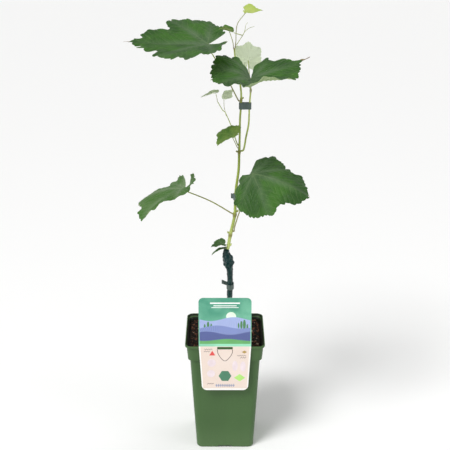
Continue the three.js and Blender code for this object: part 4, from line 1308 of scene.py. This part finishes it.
# The route of each of the tendril's strands, and its radius at its foot and tip.
TENDRIL = (
    ([[15.9, 0, 621.5], [18, 0, 624.5], [25, 0, 635.4]], 0.5, 0.4),
    ([[24.6, 0, 634.8], [27.5, 0, 641], [29, 0, 649], [31.5, 0, 653]], 0.42, 0.22),
    ([[24.6, 0, 634.8], [28, 0, 640.5], [34, 0, 645], [41, 0, 647.5]], 0.42, 0.22),
    ([[24.8, 0, 634.8], [21, -1.6, 636.2], [16.5, -2.2, 637.6], [12.4, -2.2, 639]], 0.6, 0.5),
)


class VINE_OT_build_shoots(bpy.types.Operator):
    """Build the green shoots, the side twig, the buds and the tendril"""
    bl_idname = "vine.build_shoots"
    bl_label = "Shoots"

    def execute(self, context):
        settings = context.scene.vine_shoot
        bark = shoot_material("Green shoot", settings.pale, settings.green, settings.joint)
        for name, count, tone in (("shoot_lower", 190, (0.0, 1.7)), ("shoot_left", 170, (0.8, 0.3)),
                                  ("shoot_right", 120, (0.7, 0.4)), ("side_twig", 90, (0.9, 0.5))):
            piece = limb_piece("stem_" + name, LIMBS[name], bark, count, 24, tone=tone)
            keep(piece, "shoot", name)
        keep(limb_piece("bud_scale", LIMBS["bud"], bark, 40, 16, tone=(0.2, 0.4)), "shoot", "bud")
        keep(self.axil_buds(bark), "shoot")
        keep(self.tendril(bark), "shoot", "tendril")
        return {"FINISHED"}

    def axil_buds(self, bark):
        """Small pointed buds that sit on the shoots at their joints."""
        parts = []
        for limb, height, bearing, size in AXIL_BUDS:
            root, out = (np.array(point) for point in leaving(LIMBS[limb], height, bearing, 1.0))
            start = root - (out - root) * 0.9
            tip = root + (out - root) * 1.1 * size + np.array([0, 0, 1.9 * size])
            bend = root + (out - root) * 0.8 * size + np.array([0, 0, 0.6 * size])

            def radius(share, _, most=size):
                return most * np.sin(math.pi * (0.12 + 0.86 * share)) ** 0.8

            parts.append(tube([start, bend, tip], radius, 14, 12)[:2])
        return bark_piece("axil_buds", *join_parts(parts), bark, 0.6, 0.5)

    def tendril(self, bark):
        """The young tendril: one thread that forks, with a branch back over the tip's stalks."""
        tubes = [tube(points, lambda share, _, foot=foot, tip=tip: foot + (tip - foot) * share, 40, 8)
                 for points, foot, tip in TENDRIL]
        tone = np.concatenate([0.4 + 0.3 * share for _, _, share in tubes])
        return bark_piece("tendril_threads", *join_parts([part[:2] for part in tubes]), bark, tone, 0.35)


class VINE_OT_build_leaves(bpy.types.Operator):
    """Build every leaf: a toothed, veined blade and its stalk"""
    bl_idname = "vine.build_leaves"
    bl_label = "Leaves"

    def execute(self, context):
        settings = context.scene.vine_leaf
        shoots = context.scene.vine_shoot
        side = tuple(0.3 * a + 0.7 * b for a, b in zip(settings.young, settings.fresh))
        finishes = {
            "leaf": leaf_material("Vine leaf", settings.fresh, settings.deep, settings.reflection,
                                  settings.vein, settings.under, 0.75),
            # The left leaf's finish: a stronger painted grey reflection over its upper face.
            "leaf_grey_sheen": leaf_material("Grey sheen leaf", srgb(78, 112, 58), settings.fresh,
                                        srgb(132, 150, 120), srgb(150, 164, 134), settings.under, 0.9),
            "leaf_side": leaf_material("Side leaf", side, settings.fresh, side,
                                       srgb(150, 176, 92), srgb(150, 172, 100), 0.45),
            "leaf_young": leaf_material("Young leaf", settings.young, srgb(150, 178, 70), settings.young,
                                        srgb(206, 218, 140), srgb(168, 190, 96), 0.4),
            "leaf_pale": leaf_material("Downy leaf", settings.pale, srgb(168, 190, 146), settings.pale,
                                       srgb(214, 224, 196), srgb(206, 218, 190), 0.4),
            "leaf_twig": leaf_material("Twig leaf", srgb(222, 232, 204), srgb(204, 218, 184),
                                       srgb(222, 232, 204), srgb(234, 240, 222), srgb(226, 234, 212), 0.3),
        }
        stalk = shoot_material("Leaf stalk", shoots.stalk, shoots.green, srgb(128, 104, 84))
        for seed, (node, shape) in enumerate(LEAVES.items(), start=1):
            leaf = {**FLAT_LEAF, **shape}
            leaf_pieces(node, leaf, seed, settings, finishes[leaf.get("finish", leaf["kind"])], stalk)
        return {"FINISHED"}


# ---------------------------------------------------------------- ties
def ribbon(path, height, thick, closed):
    """A flat tape on edge along a path that runs anticlockwise round the stem: its points and faces."""
    path = np.asarray(path, float)
    if closed:
        tangent = np.roll(path, -1, axis=0) - np.roll(path, 1, axis=0)
    else:
        tangent = np.gradient(path, axis=0)
    out = square_to(tangent, (0.0, 0.0, 1.0)) * thick
    up = np.array([0.0, 0.0, height / 2])
    count = len(path)
    points = np.stack([path + out + up, path + up, path - up, path + out - up], axis=1).reshape(-1, 3)
    faces = []
    for i in range(count if closed else count - 1):
        j = (i + 1) % count
        for k in range(4):
            n = (k + 1) % 4
            faces.append((i * 4 + k, i * 4 + n, j * 4 + n, j * 4 + k))
    if not closed:
        faces.append((3, 2, 1, 0))
        last = (count - 1) * 4
        faces.append((last, last + 1, last + 2, last + 3))
    return points, faces


def racetrack(first, last, radius, slope, height, count=24):
    """A loop round one or two stems in plan, anticlockwise, rising to the back by the slope."""
    loop = []
    for centre, start in ((last, -0.25), (first, 0.25)):
        for i in range(count + 1):
            angle = (start + 0.5 * i / count) * TURN
            x, y = centre + radius * math.cos(angle), radius * math.sin(angle)
            loop.append((x, y, height + slope * y))
    kept = [loop[0]]
    for point in loop[1:]:
        if np.linalg.norm(np.array(point) - kept[-1]) > 0.05:
            kept.append(point)
    return kept if np.linalg.norm(np.array(kept[0]) - kept[-1]) > 0.05 else kept[:-1]


def tape_material(settings):
    """Thin stretchy tape: semi-matt, faintly creased."""
    made = new_material("Tie tape", specular=0.45)
    tree = made[1]
    patch, fine = mottle(tree, 220.0, 1400.0, 0.3)
    color = blend_color(tree, smooth_step(tree, patch, 0.3, 0.75, 0.0, 0.6), settings.color,
                        tuple(value * 0.55 for value in settings.color))
    return dressed(made, color, smooth_step(tree, patch, 0.3, 0.7, 0.35, 0.55), fine, 0.0003)


# Each tie's node, the left and right stems' places, the loop's radius, the tape's height, where it sits,
# how it slopes to the back, and the route of its loose end.
TIES = (
    ("tie_lower", 7.9, 7.9, 5.1, 8.0, 255.6, 0.34, [[3.2, 3.6, 257.2], [-1, 2.6, 259.4], [-5, 1.2, 261.6]]),
    ("tie_middle", 15.4, 15.4, 2.9, 9.5, 398.0, 0.05,
     [[12.6, 0.9, 398.2], [10.5, 1.2, 398.6], [8.8, 0.8, 399]]),
    ("tie_upper", 22.8, 34.9, 2.35, 9.5, 534.5, 0.05, [[20.6, 0.8, 534.6], [19.8, 1.2, 535]]),
)


class VINE_OT_build_ties(bpy.types.Operator):
    """Build the three tape ties"""
    bl_idname = "vine.build_ties"
    bl_label = "Ties"

    def execute(self, context):
        settings = context.scene.vine_tie
        tape = settings.thickness / MM
        material = tape_material(settings)
        for node, first, last, radius, height, z, slope, tail in TIES:
            loop = ribbon(racetrack(first, last, radius, slope, z), height, tape, True)
            loose = ribbon(spline(tail, 12)[0], height * 0.8, tape, False)
            keep(mesh_object("tape_" + node, *join_parts([loop, loose]), material, sharp=35), "tie", node)
        return {"FINISHED"}


# ---------------------------------------------------------------- label
LABEL_WIDTH, LABEL_FOOT = 78.0, 70.0
LABEL_LOW, LABEL_TOP = 110.0, 262.0
LABEL_BORDER = 1.9
LABEL_FACE = -RIM_HALF - GAP
HOOK_WIDTH = 19.0
SLOT_WIDTH, SLOT_HEIGHT = 23.0, 4.2
INK_RISE, INK_STEP = 0.03, 0.012


def plate(name, loops, thick, front, material, bevel=0.12):
    """An upright plate from closed outlines of (x, z) points; inner outlines are holes."""
    curve = bpy.data.curves.new(name, "CURVE")
    curve.dimensions, curve.fill_mode = "2D", "BOTH"
    curve.extrude, curve.bevel_depth, curve.bevel_resolution = (thick / 2 - bevel) * MM, bevel * MM, 2
    curve.offset = -bevel * MM
    for loop in loops:
        line = curve.splines.new("POLY")
        line.points.add(len(loop) - 1)
        line.points.foreach_set("co", [value for x, z in loop for value in (x * MM, z * MM, 0, 1)])
        line.use_cyclic_u = True
    piece = baked(link_new(name, curve), name)
    move_points(piece, lambda at: np.column_stack([at[:, 0], front + thick / 2 - at[:, 2], at[:, 1]]))
    piece.data.materials.append(material)
    return piece


def link_new(name, data):
    piece = bpy.data.objects.new(name, data)
    bpy.context.scene.collection.objects.link(piece)
    return piece


def label_outline():
    """The label's edge: rounded corners, straight above the rim, tapered below it."""
    half, foot, low, top = LABEL_WIDTH / 2, LABEL_FOOT / 2, LABEL_LOW, LABEL_TOP
    return [
        *arc((foot - 8, low + 8), 8, 3, 4), (half, POT_HEIGHT),
        *arc((half - 7, top - 7), 7, 0, 1), *arc((-half + 7, top - 7), 7, 1, 2), (-half, POT_HEIGHT),
        *arc((-foot + 8, low + 8), 8, 2, 3),
    ]


def label_material(settings):
    """Printed plastic sheet: a mint ground above the rim, cream with a white edge below it."""
    made = new_material("Label plastic", specular=0.5, coat=0.3)
    tree = made[1]
    where = where_node(tree)

    def above(height, blur, axis="Z"):
        """A mask: 0 below a place in millimetres, and 1 above it."""
        return smooth_step(tree, where[axis], height * MM, (height + blur) * MM)

    patch, fine = mottle(tree, 22.0, 900.0)
    fade = smooth_step(tree, where["Z"], (POT_HEIGHT + 2) * MM, LABEL_TOP * MM, 1.0, 0.0)
    fade = math_node(tree, "ADD", fade, smooth_step(tree, patch, 0.35, 0.7, -0.25, 0.25), clamp=True)
    ground = blend_color(tree, fade, settings.deep, settings.mint)
    sideways = math_node(tree, "ABSOLUTE", where["X"])
    slope = (LABEL_WIDTH - LABEL_FOOT) / 2 / (POT_HEIGHT - LABEL_LOW)
    taper = math_node(tree, "MULTIPLY", math_node(tree, "SUBTRACT", where["Z"], LABEL_LOW * MM), slope)
    half = math_node(tree, "ADD", (LABEL_FOOT / 2 - LABEL_BORDER) * MM, taper)
    border = smooth_step(tree, math_node(tree, "SUBTRACT", half, sideways), 0.0, 0.0006)
    printed = math_node(tree, "MULTIPLY", border, above(LABEL_LOW + 2.5, 0.6))
    paper = blend_color(tree, printed, srgb(246, 246, 242), settings.cream)
    paper = blend_color(tree, smooth_step(tree, patch, 0.4, 0.75, 0.0, 0.35), paper, srgb(240, 228, 222))
    color = blend_color(tree, above(POT_HEIGHT + 1, 0.4), paper, ground)
    color = blend_color(tree, above(LABEL_FACE - 0.6, 0.2, "Y"), color, srgb(238, 238, 232))
    return dressed(made, color, smooth_step(tree, fine, 0.3, 0.7, 0.26, 0.34), fine, 0.00003)


def ink(name, color, second=None, fan=None):
    """Printed ink, plain or with rows of a second colour; fan is the rows' far point and their count."""
    made = new_material(name, roughness=0.3, coat=0.3)
    tree = made[1]
    patch, fine = mottle(tree, 90.0, 800.0)
    shown = blend_color(tree, smooth_step(tree, patch, 0.35, 0.7, 0.0, 0.3), color,
                        tuple(min(1.0, value * 1.4) for value in color))
    if second:
        across, up, count = fan
        where = where_node(tree)
        sideways = math_node(tree, "SUBTRACT", where["X"], across * MM)
        below = math_node(tree, "SUBTRACT", up * MM, where["Z"])
        turn = math_node(tree, "MULTIPLY", math_node(tree, "DIVIDE", sideways, below), count)
        turn = math_node(tree, "ADD", turn, math_node(tree, "MULTIPLY", patch, 0.5))
        row = math_node(tree, "PINGPONG", turn, 0.5)
        shown = blend_color(tree, smooth_step(tree, row, 0.18, 0.3, 0.0, 0.85), shown, second)
    return dressed(made, shown, smooth_step(tree, fine, 0.3, 0.7, 0.27, 0.36))


def disc(x, z, radius, squash=1.0, sides=28, turn=0.0):
    """Outline of a round or oval printed shape, which may be turned."""
    angle = TURN * np.arange(sides) / sides
    a, b = radius * np.cos(angle), radius * squash * np.sin(angle)
    cos, sin = math.cos(turn), math.sin(turn)
    return list(zip(x + a * cos - b * sin, z + a * sin + b * cos))


def hill(top, swell, shift, low):
    """A printed hill across the label, from its wavy crest down to a level foot."""
    half = LABEL_WIDTH / 2 - 1.2
    xs = np.linspace(-half, half, 40)
    crest = [(x, top + swell * math.sin(x / 11 + shift)) for x in xs]
    return [(-half, low), (half, low), *crest[::-1]]


def bar(x, z, length, height):
    """A plain printed bar about its middle."""
    return [(x + right * length / 2, z + up * height / 2) for right, up in SQUARE]


def ripple(x, z, length, swell, width):
    """A thin wavy stroke about its middle."""
    xs = np.linspace(-length / 2, length / 2, 36)
    line = [(x + step, z + swell * math.sin(step * 1.9)) for step in xs]
    return [(a, b - width / 2) for a, b in line] + [(a, b + width / 2) for a, b in line[::-1]]


class VINE_OT_build_label(bpy.types.Operator):
    """Build the plastic label with its slot, hook and plain printed shapes"""
    bl_idname = "vine.build_label"
    bl_label = "Label"

    def execute(self, context):
        settings = context.scene.vine_label
        thick = settings.thickness / MM
        material = label_material(settings)
        slot = bar(0, POT_HEIGHT + GAP - SLOT_HEIGHT / 2, SLOT_WIDTH, SLOT_HEIGHT)
        front = LABEL_FACE - thick
        board = plate("label_plate", [label_outline(), slot], thick, front, material)
        keep(board, "label", "label")
        keep(self.hook(thick, front, material), "label", "label")
        keep(self.tongue_cut_shadow(front), "label")
        for layer, (name, shapes, material) in enumerate(self.print_shapes(settings)):
            parts = [self.printed(shape, front, INK_RISE + INK_STEP * layer) for shape in shapes]
            keep(mesh_object("print_" + name, *join_parts(parts), material, sharp=30), "label")
        return {"FINISHED"}

    def hook(self, thick, front, material):
        """The strip that passes over the lip and down inside it."""
        back = -inner_half(SOIL_TOP, settings_wall()) + GAP
        high = POT_HEIGHT + GAP
        path = np.array([(LABEL_FACE - thick * 0.4, high), (LABEL_FACE + 0.6, high),
                         (back + thick * 0.3, high), (back + thick * 0.9, high - 0.6),
                         (back + thick, high - 7.0)])
        line, _ = spline(np.column_stack([np.zeros(len(path)), path]), 40)
        out = square_to(np.gradient(line, axis=0), (-1.0, 0.0, 0.0))
        return self.strip("label_hook", line, np.array([HOOK_WIDTH / 2, 0, 0]), out * thick, material)

    def tongue_cut_shadow(self, front):
        """A dark strip of painted shadow along the fine cut round the tongue under the slot."""
        path = [(-11.2, 178), (-10.8, 172.5), (-8.2, 167), (-3.4, 161), (0, 159.2),
                (3.4, 161), (8.2, 167), (10.8, 172.5), (11.2, 178)]
        line, _ = spline([(x, front - 0.02, z) for x, z in path], 60)
        side = square_to(np.gradient(line, axis=0), (0.0, 1.0, 0.0)) * 0.42
        # Painted shadow: the cut is a dark strip laid on the face, with no real slit.
        return self.strip("label_cut", line, side, np.array([0.0, 0.1, 0.0]),
                          ink("Cut shadow", srgb(70, 56, 50)))

    def strip(self, name, line, side, deep, material):
        """A flat strip along a line: its half width to each side, and its thickness, as vectors."""
        rings = np.stack([line - side, line + side, line + side + deep, line - side + deep], axis=1)
        return mesh_object(name, *skin(rings), material, sharp=40)

    def printed(self, shape, front, thick, sunk=0.02):
        """A thin raised layer of ink: an outline of (x, z) points made solid."""
        count = len(shape)
        points = [(x, front - thick, z) for x, z in shape] + [(x, front + sunk, z) for x, z in shape]
        faces = [tuple(range(count)), tuple(range(2 * count - 1, count - 1, -1))]
        faces += [(i, i + count, (i + 1) % count + count, (i + 1) % count) for i in range(count)]
        return np.array(points), faces

    def print_shapes(self, settings):
        """Plain printed shapes: furrowed hills under a sun, a row of trees, and marks on the cream half."""
        blue, light, dark = settings.hill, srgb(150, 166, 214), srgb(58, 66, 122)
        trees = [disc(x, foot + tall / 2, tall / 2, 0.27, turn=TURN / 4)
                 for x, foot, tall in ((-30, 209, 11), (-25, 210, 14), (-20.4, 211, 10), (20, 213, 9),
                                       (24.2, 212, 13), (28.6, 211, 16), (33, 210, 10))]
        rules = [bar(0, 253.6, 44, 2.2), bar(0, 249.4, 34, 1.3), bar(0, 246.6, 40, 1.0)]
        row = [disc(x, 118, 1.3, 2.3, 4) for x in np.arange(-13, 13.5, 2.9)]
        strokes = [ripple(x, z, length, 0.6, 0.7) for x, z, length in
                   ((-25, 178.5, 12), (-27, 175, 9), (25, 168, 13), (27, 164.6, 9), (-22, 121, 10))]
        faint = [disc(-20, 156, 6.4), disc(-21, 138, 6), disc(15, 151, 8.4, 0.48, turn=TURN / 4),
                 disc(27, 150, 8.4, 0.48, turn=TURN / 4)]
        return (
            ("sun", [disc(9, 232, 7.4)], ink("Sun ink", srgb(222, 244, 220))),
            ("rules", rules, ink("White ink", srgb(246, 250, 246))),
            ("hill_far", [hill(228, 3.2, 0.4, 212)],
             ink("Far hill ink", light, srgb(170, 184, 224), (14, 252, 9))),
            ("trees", trees, ink("Tree ink", srgb(70, 128, 78))),
            ("hill_mid", [hill(215, 2.6, 2.6, 200)], ink("Mid hill ink", blue, light, (-16, 236, 8))),
            ("hill_near", [hill(205, 2.8, 4.0, 191)], ink("Near hill ink", dark, blue, (12, 222, 7))),
            ("meadow", [hill(194, 1.6, 1.2, 187.6)], ink("Meadow ink", srgb(96, 168, 96))),
            ("six", [disc(0, 134, 9.6, 1.0, 6)], ink("Dark green ink", srgb(62, 122, 92))),
            ("lozenge", [disc(22, 131, 8.4, 0.74, 4)], ink("Lime ink", srgb(172, 222, 116))),
            ("spot", [disc(-19, 171, 5.2, 1.0, 3, TURN / 4)], ink("Red ink", srgb(214, 74, 70))),
            ("chip", [disc(29, 174, 4.0, 0.6, 4)], ink("Ochre ink", srgb(168, 140, 72))),
            ("row", row, ink("Grey ink", srgb(148, 154, 178))),
            ("strokes", strokes, ink("Brown ink", srgb(112, 98, 96))),
            ("faint", faint, ink("Lilac ink", srgb(226, 210, 214))),
        )


# ---------------------------------------------------------------- stage
FLOOR_HALF = 6000.0


class VINE_OT_build_stage(bpy.types.Operator):
    """Set the floor, the soft lights and the camera"""
    bl_idname = "vine.build_stage"
    bl_label = "Stage"

    def execute(self, context):
        settings = context.scene.vine_stage
        scene = context.scene
        material, _, shader = new_material("Pale floor", roughness=0.8, specular=0.2)
        shader.inputs["Base Color"].default_value = opaque(settings.floor)
        corners = [(x * FLOOR_HALF, y * FLOOR_HALF, 0) for x, y in SQUARE]
        mesh_object("floor", corners, [(0, 1, 2, 3)], material)

        for name, toward, angle, strength in (
                ("key", (-0.5, -0.62, 1.0), 24.0, 2.0), ("rear", (0.7, 0.5, 0.9), 40.0, 0.35)):
            light = bpy.data.lights.new(name, "SUN")
            light.energy, light.angle = strength, math.radians(angle)
            link_new(name, light).rotation_euler = Vector(toward).to_track_quat("Z", "Y").to_euler()
        for name, place_at, size, power in (
                ("window", (-1.2, -1.1, 1.1), 0.9, 5.0), ("strip", (1.3, -0.7, 0.8), 0.7, 3.0)):
            light = bpy.data.lights.new(name, "AREA")
            light.energy, light.size = power, size
            lamp = link_new(name, light)
            lamp.location = place_at
            aim = Vector((0, 0, 0.35)) - Vector(place_at)
            lamp.rotation_euler = aim.to_track_quat("-Z", "Y").to_euler()

        world = scene.world or bpy.data.worlds.new("Studio")
        scene.world = world
        world.use_nodes = True
        tree = world.node_tree
        backdrop = tree.nodes["Background"]
        backdrop.inputs["Color"].default_value = (1.0, 1.0, 1.0, 1.0)
        seen = place(tree, "LightPath").outputs["Is Camera Ray"]
        tree.links.new(smooth_step(tree, seen, 0.0, 1.0, 0.42, 0.92), backdrop.inputs["Strength"])
        scene.view_settings.view_transform = "Standard"

        camera = link_new("camera", bpy.data.cameras.new("camera"))
        camera.data.lens, camera.data.sensor_width, camera.data.clip_end = settings.lens, 36.0, 30.0
        camera.location = (0.0, -settings.distance, settings.height)
        camera.rotation_euler = (math.pi / 2 - settings.pitch, 0.0, 0.0)
        scene.camera = camera
        return {"FINISHED"}


# ---------------------------------------------------------------- add-on
class VINE_PT_panel(bpy.types.Panel):
    """Lists the steps that build the potted vine"""
    bl_idname = "VINE_PT_panel"
    bl_label = "Grapevine"
    bl_space_type = "VIEW_3D"
    bl_region_type = "UI"
    bl_category = "Grapevine"

    def draw(self, context):
        for step in STEPS:
            self.layout.operator(step.bl_idname)


SETTINGS = {
    "vine_pot": VinePotSettings, "vine_peat": VinePeatSettings, "vine_trunk": VineTrunkSettings,
    "vine_shoot": VineShootSettings, "vine_leaf": VineLeafSettings, "vine_tie": VineTieSettings,
    "vine_label": VineLabelSettings, "vine_stage": VineStageSettings,
}
STEPS = (VINE_OT_build_stage, VINE_OT_build_pot, VINE_OT_build_peat, VINE_OT_build_trunk,
         VINE_OT_build_shoots, VINE_OT_build_leaves, VINE_OT_build_ties, VINE_OT_build_label)
CLASSES = (*SETTINGS.values(), *STEPS, VINE_PT_panel)


def register():
    for cls in CLASSES:
        bpy.utils.register_class(cls)
    for name, group in SETTINGS.items():
        setattr(bpy.types.Scene, name, PointerProperty(type=group))


def unregister():
    for name in SETTINGS:
        delattr(bpy.types.Scene, name)
    for cls in reversed(CLASSES):
        bpy.utils.unregister_class(cls)


def main():
    register()
    bpy.ops.vine.build_stage()
    bpy.ops.vine.build_pot()
    bpy.ops.vine.build_peat()
    bpy.ops.vine.build_trunk()
    bpy.ops.vine.build_shoots()
    bpy.ops.vine.build_leaves()
    bpy.ops.vine.build_ties()
    bpy.ops.vine.build_label()
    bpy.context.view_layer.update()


if __name__ == "__main__":
    main()
